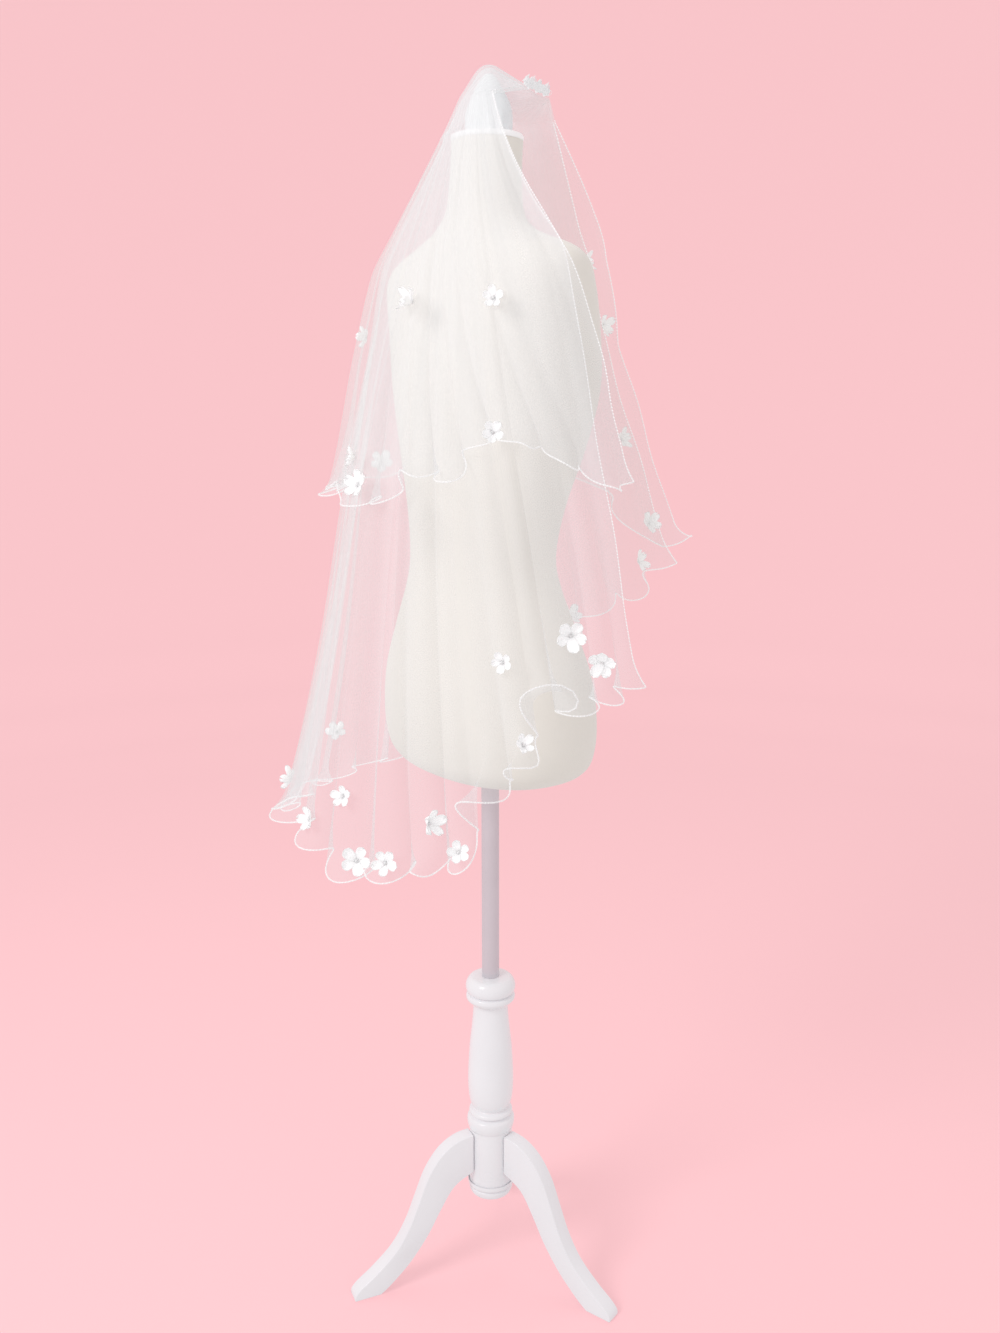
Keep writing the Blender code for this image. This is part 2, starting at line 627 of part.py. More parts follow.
def build_torso(collection, parent):
    """Torso and neck in one cover of jersey, lofted through its sections."""
    rings = []
    for section in TORSO_SECTIONS:
        ring = []
        for side in range(TORSO_SIDES):
            angle = 2.0 * math.pi * side / TORSO_SIDES
            power = 2.0 / TORSO_ROUNDNESS
            across = math.copysign(abs(math.cos(angle)) ** power, math.cos(angle))
            along = math.copysign(abs(math.sin(angle)) ** power, math.sin(angle))
            ring.append(Vector((
                section["width"] * across,
                section["back"] + section["depth"] * along,
                section["height"],
            )))
        rings.append(ring)
    mesh = loft("dress_form", rings)
    smooth_mesh(mesh)
    return add_object("dress_form", mesh, collection, parent, JERSEY_CREAM, 0.85)


def build_turned(name, profile, segments, collection, parent, colour, roughness, metallic=0.0):
    """A profile down the +X side, turned about the pole's axis."""
    mesh = bpy.data.meshes.new(name)
    points = [(row["radius"], 0.0, row["height"]) for row in profile]
    edges = [(index, index + 1) for index in range(len(points) - 1)]
    mesh.from_pydata(points, edges, [])
    made = add_object(name, mesh, collection, parent, colour, roughness, metallic)
    turn = made.modifiers.new("turn", "SCREW")
    turn.axis = "Z"
    turn.angle = 2.0 * math.pi
    turn.steps = segments
    turn.render_steps = segments
    turn.use_merge_vertices = True
    turn.merge_threshold = 0.0001
    return made


def build_neck_band(collection, parent):
    """The rim band round the top of the neck."""
    back = TORSO_SECTIONS[-1]["back"]
    bottom = TORSO_SECTIONS[-1]["height"] + GAP
    profile = (
        {"radius": 0.0000, "height": NECK_TOP},
        {"radius": 0.0420, "height": NECK_TOP},
        {"radius": 0.0445, "height": NECK_TOP - 0.0020},
        {"radius": 0.0445, "height": bottom + 0.0015},
        {"radius": 0.0425, "height": bottom},
        {"radius": 0.0000, "height": bottom},
    )
    made = build_turned("neck_band", profile, 24, collection, parent, SATIN_WHITE, 0.6)
    made.location.y = back
    return made


def build_pole(collection, parent):
    """The straight metal pole from the column into the foot of the torso."""
    length = TORSO_BOTTOM - COLUMN_TOP - 2 * GAP
    bpy.ops.mesh.primitive_cylinder_add(
        vertices=16, radius=POLE_RADIUS, depth=length,
        location=(0.0, 0.0, (TORSO_BOTTOM + COLUMN_TOP) / 2))
    made = bpy.context.object
    made.name = "pole"
    made.data.name = "pole"
    for owner in list(made.users_collection):
        owner.objects.unlink(made)
    collection.objects.link(made)
    made.parent = parent
    made.data.materials.append(make_material("pole", POLE_GREY, 0.35, 0.6))
    smooth_mesh(made.data)
    return made


def build_leg(name, bearing, collection, parent):
    """A curved foot cut from a board, standing in the plane of its bearing."""
    outline = [(row["out"], row["height"]) for row in LEG_TOP_EDGE + LEG_UNDER_EDGE]
    curve = bpy.data.curves.new(name, "CURVE")
    curve.dimensions = "2D"
    curve.fill_mode = "BOTH"
    curve.extrude = LEG_THICKNESS / 2
    spline = curve.splines.new("POLY")
    spline.points.add(len(outline) - 1)
    for point, (out, height) in zip(spline.points, outline):
        point.co = (out, height, 0.0, 1.0)
    spline.use_cyclic_u = True
    made = add_object(name, curve, collection, parent, PAINT_WHITE, 0.25)
    made.rotation_euler = (math.radians(90.0), 0.0, math.radians(bearing - 90.0))
    return made


def centre_on_floor(collection, root):
    """Move the whole model so that its box stands centred on the origin."""
    bpy.context.view_layer.update()
    depsgraph = bpy.context.evaluated_depsgraph_get()
    corners = []
    for part in collection.objects:
        if part.type == "EMPTY":
            continue
        evaluated = part.evaluated_get(depsgraph)
        mesh = evaluated.to_mesh()
        corners += [evaluated.matrix_world @ vert.co for vert in mesh.vertices]
        evaluated.to_mesh_clear()
    for axis in (0, 1):
        values = [corner[axis] for corner in corners]
        root.location[axis] = -0.5 * (min(values) + max(values))
    root.location.z = -min(corner.z for corner in corners)


def main():
    clear_scene()
    collection = bpy.data.collections.new("bridal_veil_on_dress_form")
    bpy.context.scene.collection.children.link(collection)
    root = bpy.data.objects.new("veil_root", None)
    collection.objects.link(root)
    build_torso(collection, root)
    build_neck_band(collection, root)
    build_turned("knob", KNOB_PROFILE, 20, collection, root, SATIN_WHITE, 0.5)
    build_pole(collection, root)
    build_turned("column", COLUMN_PROFILE, 20, collection, root, PAINT_WHITE, 0.25)
    for number, bearing in enumerate(LEG_BEARINGS, start=1):
        build_leg(f"leg_{number}", bearing, collection, root)
    build_heading(collection, root)
    for name in TIERS:
        build_tier(name, collection, root)
    build_hem_cord("lower_hem_cord", "lower_tier", collection, root)
    build_hem_cord("upper_hem_cord", "upper_tier", collection, root)
    for tier_name, flowers in (("lower_tier", LOWER_FLOWERS), ("upper_tier", UPPER_FLOWERS)):
        for number, row in enumerate(flowers, start=1):
            label = tier_name.split("_")[0]
            build_flower(f"{label}_flower_{number:02d}", tier_name, row, collection, root)
    centre_on_floor(collection, root)


main()
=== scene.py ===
"""Looks of the two-tier bridal veil on its dress form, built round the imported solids.

Metres, +Z up. The form faces -Y. The veil is measured round the stand's axis: a turn in
degrees counts from the middle of its opening, and a place on a tier is its fold and level.
"""

import json
import math

import bmesh
import bpy
import numpy as np
from bpy.props import FloatProperty, FloatVectorProperty, IntProperty, PointerProperty
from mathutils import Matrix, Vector

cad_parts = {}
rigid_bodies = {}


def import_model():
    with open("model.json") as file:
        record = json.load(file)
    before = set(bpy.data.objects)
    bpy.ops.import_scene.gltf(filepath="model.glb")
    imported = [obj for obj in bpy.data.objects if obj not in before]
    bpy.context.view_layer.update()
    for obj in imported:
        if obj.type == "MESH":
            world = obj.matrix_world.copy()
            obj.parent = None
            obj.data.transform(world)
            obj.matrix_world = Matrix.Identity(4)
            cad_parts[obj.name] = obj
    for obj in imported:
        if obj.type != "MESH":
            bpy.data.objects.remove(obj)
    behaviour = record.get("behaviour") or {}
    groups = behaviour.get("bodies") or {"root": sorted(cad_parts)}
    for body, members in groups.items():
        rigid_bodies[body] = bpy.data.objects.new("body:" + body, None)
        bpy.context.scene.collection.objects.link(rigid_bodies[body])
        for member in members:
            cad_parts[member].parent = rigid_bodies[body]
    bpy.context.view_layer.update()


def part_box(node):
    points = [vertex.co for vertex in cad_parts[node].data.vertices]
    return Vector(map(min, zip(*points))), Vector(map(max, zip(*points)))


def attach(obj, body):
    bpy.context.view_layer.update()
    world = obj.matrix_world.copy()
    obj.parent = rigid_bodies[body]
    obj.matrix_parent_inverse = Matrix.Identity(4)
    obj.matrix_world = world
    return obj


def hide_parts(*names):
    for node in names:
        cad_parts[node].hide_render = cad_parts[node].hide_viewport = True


bl_info = {
    "name": "Bridal veil on a dress form",
    "version": (1, 0, 0),
    "blender": (4, 5, 0),
    "location": "3D View > Sidebar > Veil",
    "description": "Builds a two-tier tulle veil with its dress form and stand",
    "category": "Add Mesh",
}


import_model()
POLE_LOW, POLE_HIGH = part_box("pole")
AXIS_X = (POLE_LOW.x + POLE_HIGH.x) / 2
AXIS_Y = (POLE_LOW.y + POLE_HIGH.y) / 2


def table(columns, rows):
    """Rows of numbers under named columns."""
    return tuple(dict(zip(columns.split(), row)) for row in rows)


# Heights and turns shared with the solids
SHOULDER_HEIGHT = 1.396
SHOULDER_WIDEST = 1.370
OPENING_BEARING = -38.0
BODY_CLEARANCE = 0.012
LEAST_CLEARANCE = 0.009
SOFT_CLEARANCE = 0.005
SHOULDER_ROUNDING = 0.020
SHOULDER_SOFTNESS = 0.012
SHOULDER_SWEEP = 0.45
SWEEP_POWER = 0.8
BELLY_BOTTOM = 1.300
CROWN_RUFFLE = 0.10
CROWN_RUFFLE_RATE = 6.0
RUFFLE_POWER = 3
RUFFLE_LEAN = 0.45
RUFFLE_DROP = 0.35
HEADING_NEAR = (0.042, 0.020)
HEADING_FAR = (0.074, -0.036)
HEADING_HEIGHT = 0.008
HEADING_LEVEL = 1.600
HEADING_TUCK = 0.0034
CROWN_SOFTNESS = 0.003

CROWN_RIM = table("turn radius height", (
    (84, 0.040, 1.582),
    (130, 0.037, 1.578),
    (180, 0.037, 1.577),
    (235, 0.040, 1.577),
    (280, 0.060, 1.575),
    (324, 0.100, 1.568),
))
CROWN_SHAPE = table("radius height", (
    (0.0000, 1.6200),
    (0.0080, 1.6170),
    (0.0150, 1.6100),
    (0.0230, 1.5970),
    (0.0310, 1.5780),
    (0.0360, 1.5600),
    (0.0400, 1.5000),
))
LOWER_FOLDS = table("turn reach height ruffle", (
    (36, 0.219, 0.889, 0.004),
    (48, 0.219, 0.876, 0.011),
    (60, 0.222, 0.876, 0.013),
    (71, 0.228, 0.874, 0.012),
    (80, 0.235, 0.832, 0.007),
    (88, 0.246, 0.776, 0.006),
    (96, 0.257, 0.728, 0.007),
    (105, 0.266, 0.700, 0.012),
    (116, 0.273, 0.692, 0.013),
    (128, 0.279, 0.680, 0.014),
    (141, 0.283, 0.698, 0.014),
    (155, 0.286, 0.706, 0.014),
    (169, 0.287, 0.692, 0.014),
    (183, 0.286, 0.686, 0.015),
    (197, 0.283, 0.694, 0.014),
    (211, 0.279, 0.684, 0.014),
    (225, 0.273, 0.694, 0.014),
    (238, 0.266, 0.696, 0.013),
    (251, 0.258, 0.712, 0.013),
    (263, 0.249, 0.728, 0.012),
    (274, 0.242, 0.756, 0.011),
    (285, 0.238, 0.808, 0.011),
    (297, 0.238, 0.872, 0.011),
    (310, 0.243, 0.926, 0.012),
    (325, 0.252, 0.960, 0.010),
    (341, 0.256, 1.012, 0.003),
))
UPPER_FOLDS = table("turn stand_off belly height ruffle", (
    (37, 0.017, 0.000, 1.137, 0.003),
    (49, 0.018, 0.000, 1.130, 0.007),
    (65, 0.019, 0.000, 1.156, 0.007),
    (81, 0.021, 0.000, 1.182, 0.006),
    (93, 0.021, 0.000, 1.172, 0.008),
    (103, 0.021, 0.000, 1.142, 0.009),
    (115, 0.021, 0.000, 1.146, 0.009),
    (128, 0.021, 0.000, 1.118, 0.010),
    (143, 0.021, 0.000, 1.110, 0.011),
    (159, 0.022, 0.000, 1.122, 0.011),
    (175, 0.022, 0.000, 1.116, 0.010),
    (192, 0.022, 0.000, 1.122, 0.011),
    (209, 0.021, 0.000, 1.112, 0.010),
    (226, 0.021, 0.000, 1.122, 0.009),
    (243, 0.022, 0.000, 1.128, 0.009),
    (260, 0.024, 0.002, 1.120, 0.009),
    (277, 0.026, 0.006, 1.122, 0.009),
    (293, 0.026, 0.012, 1.108, 0.010),
    (309, 0.026, 0.018, 1.084, 0.010),
    (325, 0.025, 0.023, 1.044, 0.009),
    (342, 0.024, 0.024, 1.042, 0.003),
))

# Long soft creases: the fold and level of the middle, how wide in folds,
# how long in levels, and how deep (a ridge stands out, a trough is below zero)
LOWER_CREASES = table("fold level width long depth", (
    (1.4, 2.55, 0.45, 0.38, 0.004),
    (2.7, 2.45, 0.35, 0.30, -0.004),
    (4.2, 2.60, 0.55, 0.30, 0.003),
    (5.6, 2.50, 0.40, 0.42, 0.005),
    (6.5, 2.62, 0.35, 0.26, -0.006),
    (7.7, 2.55, 0.55, 0.40, 0.006),
    (8.8, 2.66, 0.40, 0.30, -0.008),
    (10.1, 2.52, 0.60, 0.44, 0.007),
    (11.4, 2.60, 0.45, 0.34, -0.007),
    (12.9, 2.55, 0.60, 0.40, 0.005),
    (14.3, 2.64, 0.45, 0.30, -0.008),
    (15.8, 2.52, 0.50, 0.42, 0.006),
    (17.4, 2.60, 0.60, 0.32, -0.006),
    (18.9, 2.55, 0.50, 0.40, 0.005),
    (20.4, 2.62, 0.45, 0.30, -0.006),
    (21.7, 2.50, 0.50, 0.36, 0.005),
    (23.1, 2.58, 0.40, 0.30, -0.007),
    (24.1, 2.52, 0.40, 0.40, 0.005),
    (12.3, 3.00, 2.40, 0.50, -0.018),
    (2.9, 2.98, 0.50, 0.32, -0.014),
))
UPPER_CREASES = table("fold level width long depth", (
    (0.9, 2.35, 0.35, 0.40, 0.003),
    (1.9, 2.50, 0.40, 0.36, -0.005),
    (2.9, 2.25, 0.45, 0.45, 0.004),
    (4.1, 2.62, 0.40, 0.30, 0.004),
    (5.1, 2.30, 0.35, 0.42, -0.006),
    (6.2, 2.48, 0.50, 0.48, 0.005),
    (7.2, 2.58, 0.35, 0.32, -0.008),
    (8.3, 2.40, 0.55, 0.48, 0.005),
    (9.6, 2.55, 0.40, 0.34, -0.007),
    (11.0, 2.42, 0.60, 0.46, 0.006),
    (12.5, 2.60, 0.40, 0.30, -0.006),
    (13.8, 2.38, 0.50, 0.44, 0.005),
    (15.2, 2.56, 0.50, 0.36, -0.006),
    (16.4, 2.40, 0.45, 0.46, 0.005),
    (17.7, 2.58, 0.40, 0.32, -0.007),
    (18.8, 2.42, 0.45, 0.46, 0.005),
    (10.2, 3.00, 1.80, 0.45, -0.007),
    (0.0, 2.80, 0.60, 0.50, -0.007),
))

# Places where the hem rolls over further: the fold, how wide in folds, how far it turns in
# degrees (inward below zero), how much longer the rolled strip is and how far it sinks
LOWER_ROLLS = table("fold width turn longer drop", (
    (0.1, 0.35, 26, 0.004, 0.000),
    (1.2, 0.30, -50, 0.000, 0.000),
    (1.9, 0.30, 10, 0.000, 0.000),
    (3.00, 0.30, 215, 0.032, 0.026),
    (3.95, 0.24, 170, 0.010, 0.032),
    (5.05, 0.30, 170, 0.014, 0.014),
    (6.10, 0.28, 35, 0.004, 0.020),
    (10.1, 0.45, 20, 0.000, -0.010),
    (11.6, 0.60, 34, 0.000, -0.022),
    (16.4, 0.60, 15, 0.000, 0.000),
    (21.6, 0.35, 120, 0.012, 0.000),
    (23.4, 0.30, 90, 0.008, 0.000),
))
UPPER_ROLLS = table("fold width turn longer drop", (
    (0.2, 0.30, 20, 0.002, 0.002),
    (4.1, 0.35, -30, 0.000, -0.010),
    (6.4, 0.28, 60, 0.004, 0.000),
    (8.6, 0.30, 90, 0.006, 0.000),
    (12.4, 0.35, 50, 0.004, 0.000),
    (16.6, 0.35, 50, 0.002, -0.006),
    (17.9, 0.50, 20, 0.000, -0.030),
    (19.3, 0.30, 45, 0.000, 0.014),
    (19.9, 0.20, 80, 0.004, -0.002),
))

TIERS = {
    "lower_tier": {
        "folds": LOWER_FOLDS,
        "creases": LOWER_CREASES,
        "rolls": LOWER_ROLLS,
        "layer": 0.0,
        "columns": 20,
        "seed": 0.0,
        "curl": 0.036,
    },
    "upper_tier": {
        "folds": UPPER_FOLDS,
        "creases": UPPER_CREASES,
        "rolls": UPPER_ROLLS,
        "layer": 0.0026,
        "columns": 23,
        "seed": 2.3,
        "curl": 0.028,
    },
}
CROWN_CHORDS = 25
CROWN_ROWS = 24
NECK_ROWS = 26
DROP_ROWS = 52
HEM_ROWS = 16

# Flowers: where each sits, how wide it is, its spin, how far it is swung to the side, and
# how far its petals close, 0 for flat
UPPER_FLOWERS = table("fold level across spin swing closed", (
    (19.1, 1.94, 0.026, 10, 40, 0.5),
    (2.4, 2.24, 0.024, 40, 0, 0.3),
    (6.1, 2.22, 0.032, 0, 10, 0.9),
    (3.55, 2.96, 0.026, 0, 0, 0.6),
    (7.9, 2.92, 0.034, 50, 10, 0.2),
    (8.1, 2.80, 0.024, 15, 30, 0.4),
    (12.1, 2.30, 0.028, 30, 0, 0.3),
    (13.1, 2.92, 0.032, 5, 15, 0.3),
    (16.1, 2.88, 0.030, 20, -20, 0.4),
    (19.4, 2.20, 0.030, 45, 20, 0.5),
    (19.1, 2.62, 0.028, 60, 0, 0.3),
    (19.4, 2.92, 0.032, 35, 0, 0.4),
))
LOWER_FLOWERS = table("fold level across spin swing closed", (
    (2.1, 2.82, 0.036, 10, 10, 0.4),
    (1.1, 2.90, 0.036, 40, 20, 0.8),
    (4.1, 2.79, 0.024, 0, 0, 0.2),
    (3.9, 2.95, 0.024, 20, 0, 0.4),
    (6.9, 2.92, 0.032, 50, -60, 0.6),
    (6.1, 2.97, 0.026, 65, -20, 0.4),
    (7.9, 2.97, 0.030, 15, 0, 0.2),
    (8.9, 2.97, 0.034, 30, 0, 0.2),
    (9.9, 2.95, 0.030, 5, 15, 0.3),
    (9.1, 2.87, 0.026, 60, 0, 0.3),
    (13.1, 2.94, 0.032, 45, 0, 0.3),
    (15.1, 2.90, 0.030, 20, 20, 0.3),
    (18.1, 2.94, 0.034, 35, -15, 0.4),
    (20.1, 2.90, 0.030, 55, 0, 0.3),
    (22.1, 2.92, 0.032, 0, 20, 0.4),
    (24.1, 2.90, 0.030, 30, 0, 0.3),
))
PETAL_COUNT = 5
PETAL_ROWS = 9
PETAL_COLUMNS = 7

FLOWER_LIFT = 0.0014
FLOWER_SPREAD = 1.06
PETAL_WALL = 0.0004

# The hem cord: share of the light that one of its walls stops, distance between its rings,
# how far along it thins towards the heading, and how thin it gets
HEM_COVER = 0.5
CORD_PITCH = 0.0022
CORD_FADE = 0.06
CORD_THIN = 0.55
CORD_SIDES = 7
# Rows of the crown that have no cord yet, as a share
BARE_CROWN = 0.95
STITCH_PATH_PITCH = 0.002
STITCH_OVER_CORD = 1.18
THREAD_WIDTH = 0.0006

# The heading and the frill of tulle that stands above it
HEADING_STEPS = 300
HEADING_SIDES = 28
HEADING_STITCH_RADIUS = 0.0040
HEADING_STITCH_PITCH = 0.0055
FRILL_STEPS = 420
FRILL_ROWS = 7
FRILL_COVER = 0.55

# Sections of the torso and neck: half width, half depth, and how far back the middle lies
TORSO_SECTIONS = table("height width depth back", (
    (0.7500, 0.112, 0.074, 0.002),
    (0.7530, 0.130, 0.087, 0.002),
    (0.7620, 0.148, 0.099, 0.002),
    (0.7800, 0.161, 0.108, 0.003),
    (0.8200, 0.166, 0.113, 0.004),
    (0.8800, 0.160, 0.109, 0.006),
    (0.9400, 0.139, 0.096, 0.009),
    (1.0000, 0.116, 0.081, 0.012),
    (1.0400, 0.110, 0.077, 0.013),
    (1.1000, 0.118, 0.084, 0.008),
    (1.1800, 0.136, 0.102, -0.003),
    (1.2500, 0.147, 0.113, -0.008),
    (1.3200, 0.161, 0.101, -0.002),
    (1.3650, 0.173, 0.084, 0.006),
    (1.3880, 0.173, 0.070, 0.009),
    (1.4040, 0.153, 0.060, 0.010),
    (1.4180, 0.112, 0.054, 0.010),
    (1.4330, 0.072, 0.050, 0.009),
    (1.4560, 0.0480, 0.0450, 0.007),
    (1.5000, 0.0425, 0.0420, 0.005),
    (1.5360, 0.0425, 0.0420, 0.003),
))
TORSO_ROUNDNESS = 2.25
TORSO_ROWS = 140
TORSO_SIDES = 120
NECK_TOP = 1.543
NECK_BAND_BOTTOM = 1.5363
NECK_BAND_BACK = 0.003
NECK_BAND_RADIUS = 0.0425
NECK_BAND_BULGE = 0.0020

# Turned shapes, a row for each point down the profile
KNOB_PROFILE = table("radius height", (
    (0.0000, 1.6138),
    (0.0070, 1.6109),
    (0.0135, 1.6025),
    (0.0205, 1.5885),
    (0.0275, 1.5715),
    (0.0300, 1.5600),
    (0.0285, 1.5490),
    (0.0240, 1.5433),
    (0.0000, 1.5433),
))
COLUMN_PROFILE = table("radius height", (
    (0.0000, 0.4460),
    (0.0240, 0.4460),
    (0.0308, 0.4425),
    (0.0342, 0.4360),
    (0.0345, 0.4295),
    (0.0325, 0.4245),
    (0.0292, 0.4225),
    (0.0335, 0.4200),
    (0.0338, 0.4145),
    (0.0295, 0.4095),
    (0.0250, 0.4060),
    (0.0243, 0.3980),
    (0.0262, 0.3740),
    (0.0298, 0.3400),
    (0.0320, 0.3000),
    (0.0316, 0.2740),
    (0.0290, 0.2560),
    (0.0245, 0.2480),
    (0.0298, 0.2445),
    (0.0305, 0.2400),
    (0.0268, 0.2370),
    (0.0325, 0.2330),
    (0.0335, 0.2260),
    (0.0322, 0.2190),
    (0.0308, 0.2155),
    (0.0305, 0.2145),
    (0.0305, 0.1370),
    (0.0325, 0.1345),
    (0.0325, 0.1285),
    (0.0288, 0.1258),
    (0.0310, 0.1230),
    (0.0285, 0.1150),
    (0.0190, 0.1105),
    (0.0000, 0.1100),
))
LEG_TOP_EDGE = table("out height", (
    (0.0308, 0.2120),
    (0.0540, 0.2080),
    (0.0780, 0.1930),
    (0.0985, 0.1650),
    (0.1130, 0.1300),
    (0.1285, 0.0925),
    (0.1490, 0.0600),
    (0.1780, 0.0335),
    (0.2000, 0.0175),
    (0.2090, 0.0080),
    (0.2100, 0.0000),
))
LEG_UNDER_EDGE = table("out height", (
    (0.1720, 0.0000),
    (0.1545, 0.0130),
    (0.1270, 0.0390),
    (0.1010, 0.0730),
    (0.0810, 0.1080),
    (0.0600, 0.1390),
    (0.0308, 0.1550),
))
LEG_BEARINGS = (-74.5, 45.5, 165.5)
LEG_THICKNESS = 0.022
LEG_STEPS = 5
LEG_ROUNDING = 0.0028

# The camera, at the photographed angle
CAMERA_BEARING = -128.0
CAMERA_AWAY = 1.60
CAMERA_HEIGHT = 1.22
CAMERA_DOWN = 11.8
CAMERA_ASIDE = 0.0132
CAMERA_LENS = 33.4

# The cove's profile, and the lights: how far toward the camera, to its right and up each is
COVE = table("radius height", (
    (0.02, 0.0), (1.0, 0.0), (2.0, 0.0), (2.6, 0.0), (2.9, 0.05), (3.1, 0.16),
    (3.22, 0.34), (3.28, 0.6), (3.3, 0.9), (3.3, 3.0), (3.3, 8.0),
))
LIGHTS = table("name toward right up size power", (
    ("key", 1.6, -1.7, 2.3, 1.2, 20),
    ("fill", 1.9, 1.5, 1.6, 1.6, 1),
    ("top", -0.9, 0.0, 2.9, 1.6, 3),
))
LIGHT_TARGET = 1.0
WORLD_COLOUR = (1.0, 0.985, 0.99, 1.0)
WORLD_STRENGTH = 0.77
UPWARD = np.array([0.0, 0.0, 1.0])
WHITE = (1.0, 1.0, 1.0)


class VeilSizes(bpy.types.PropertyGroup):
    """Sizes of the veil and its trimmings."""

    cover: FloatProperty(
        name="Tulle cover", description="Share of the light that one flat layer of tulle stops",
        default=0.215, min=0.05, max=0.9)
    gather_cover: FloatProperty(
        name="Gathered cover", description="How strongly gathers add to the cover", default=0.29)
    curl_turn: FloatProperty(
        name="Hem curl", description="How far the hem turns out and in along its ruffles",
        default=math.radians(48), unit="ROTATION")
    gather_depth: FloatProperty(
        name="Gather depth", description="Depth of the fine gathers at the shoulder",
        default=0.0022, unit="LENGTH")
    cord_radius: FloatProperty(
        name="Hem cord radius", description="Radius of the corded edge", default=0.0009,
        unit="LENGTH")
    bead_radius: FloatProperty(
        name="Bead radius", description="Radius of a pearl in a flower", default=0.0014,
        unit="LENGTH")
    stitch_pitch: FloatProperty(
        name="Stitch pitch", description="Distance between stitches along the hem",
        default=0.0040, unit="LENGTH")
    pearls: IntProperty(
        name="Pearls", description="Pearls in the middle of a flower", default=6, min=1, max=12)


class VeilColours(bpy.types.PropertyGroup):
    """Colours of the cloths and paints."""

    tulle: FloatVectorProperty(
        name="Tulle", description="Colour of the net", subtype="COLOR", default=(0.79, 0.79, 0.80))
    satin: FloatVectorProperty(
        name="Satin", description="Colour of petals and cord", subtype="COLOR",
        default=(0.92, 0.92, 0.925))
    jersey: FloatVectorProperty(
        name="Jersey", description="Colour of the dress form", subtype="COLOR",
        default=(0.86, 0.812, 0.752))
    padding: FloatVectorProperty(
        name="Knob cloth", description="Colour of the cloth over the knob", subtype="COLOR",
        default=(0.92, 0.945, 0.96))
    paint: FloatVectorProperty(
        name="Paint", description="Colour of the wooden stand", subtype="COLOR",
        default=(0.935, 0.930, 0.955))
    pole: FloatVectorProperty(
        name="Pole", description="Colour of the metal pole", subtype="COLOR",
        default=(0.66, 0.650, 0.690))
    floor: FloatVectorProperty(
        name="Floor", description="Colour of the plain floor", subtype="COLOR",
        default=(0.970, 0.580, 0.610))


# Numbers worked out from the tables

def column(rows, name):
    return np.array([row[name] for row in rows], dtype=float)


def catmull(before, start, end, after, share):
    """A smooth curve through start and end, led by the values on either side."""
    square = share * share
    cube = square * share
    return 0.5 * (
        2 * start
        + (end - before) * share
        + (2 * before - 5 * start + 4 * end - after) * square
        + (3 * start - 3 * end + after - before) * cube
    )


def smooth_column(rows, name, places):
    """A column of a table read at any places between its rows."""
    values = column(rows, name)
    last = len(values) - 1
    places = np.clip(places, 0.0, last)
    start = np.minimum(places.astype(int), last - 1)
    before = values[np.maximum(start - 1, 0)]
    after = values[np.minimum(start + 2, last)]
    return catmull(before, values[start], values[start + 1], after, places - start)


def straight_column(rows, key, name, value):
    return np.interp(value, column(rows, key), column(rows, name))


def ease(value, low, high):
    """0 below low, 1 above high, and a soft rise between."""
    share = np.clip((value - low) / (high - low), 0.0, 1.0)
    return share * share * (3.0 - 2.0 * share)


def softer_max(first, second, width):
    return 0.5 * (first + second + np.hypot(first - second, width))


def round_stand(turn, radius, height):
    """Points at a turn in degrees from the middle of the opening."""
    bearing = np.radians(OPENING_BEARING - turn)
    height = height + np.zeros_like(bearing)
    return np.stack((
        AXIS_X + radius * np.sin(bearing),
        AXIS_Y - radius * np.cos(bearing),
        height,
    ), axis=-1)


def torso_radius(turn, height):
    """How far the torso reaches from the stand's axis in this direction."""
    width = straight_column(TORSO_SECTIONS, "height", "width", height)
    depth = straight_column(TORSO_SECTIONS, "height", "depth", height)
    back = straight_column(TORSO_SECTIONS, "height", "back", height)
    bearing = np.radians(OPENING_BEARING - turn)
    power = TORSO_ROUNDNESS
    across = np.abs(np.sin(bearing) / width) ** power
    along = np.abs(np.cos(bearing) / depth) ** power
    return (across + along) ** (-1.0 / power) - back * np.cos(bearing)


def tent_radius(turn, height):
    """The lower tier with no ruffle: straight to the shoulder, then straight to the hem."""
    top_radius = straight_column(CROWN_RIM, "turn", "radius", turn)
    top_height = straight_column(CROWN_RIM, "turn", "height", turn)
    hem_radius = straight_column(LOWER_FOLDS, "turn", "reach", turn)
    hem_height = straight_column(LOWER_FOLDS, "turn", "height", turn)
    slope = (hem_radius - top_radius) / (top_height - hem_height)
    direct = top_radius + slope * (top_height - SHOULDER_HEIGHT)
    body = torso_radius(turn, np.full_like(turn, SHOULDER_WIDEST)) + BODY_CLEARANCE
    over = softer_max(direct, body, SHOULDER_SOFTNESS)
    above = (over - top_radius) / (top_height - SHOULDER_HEIGHT)
    below = (hem_radius - over) / (SHOULDER_HEIGHT - hem_height)
    drop = SHOULDER_HEIGHT - height
    bend = (below - above) / (4.0 * SHOULDER_ROUNDING)
    lift = 0.25 * (below - above) * SHOULDER_ROUNDING
    rounded = over + 0.5 * (above + below) * drop + bend * drop * drop + lift
    radius = np.where(drop < 0.0, over + above * drop, over + below * drop)
    radius = np.where(np.abs(drop) < SHOULDER_ROUNDING, rounded, radius)
    body = torso_radius(turn, height) + LEAST_CLEARANCE
    return np.where(height > NECK_TOP, radius, np.maximum(radius, body))


def heading_point(share, level):
    """Points along the gathered heading, from its near end to its far end."""
    along = HEADING_NEAR[0] + (HEADING_FAR[0] - HEADING_NEAR[0]) * share
    across = HEADING_NEAR[1] + (HEADING_FAR[1] - HEADING_NEAR[1]) * share
    centre = np.array([AXIS_X, AXIS_Y, 0.0])
    zero = np.zeros_like(along)
    first = round_stand(zero, along, level)
    second = round_stand(zero + 90.0, across, 0.0) - centre
    return first + second


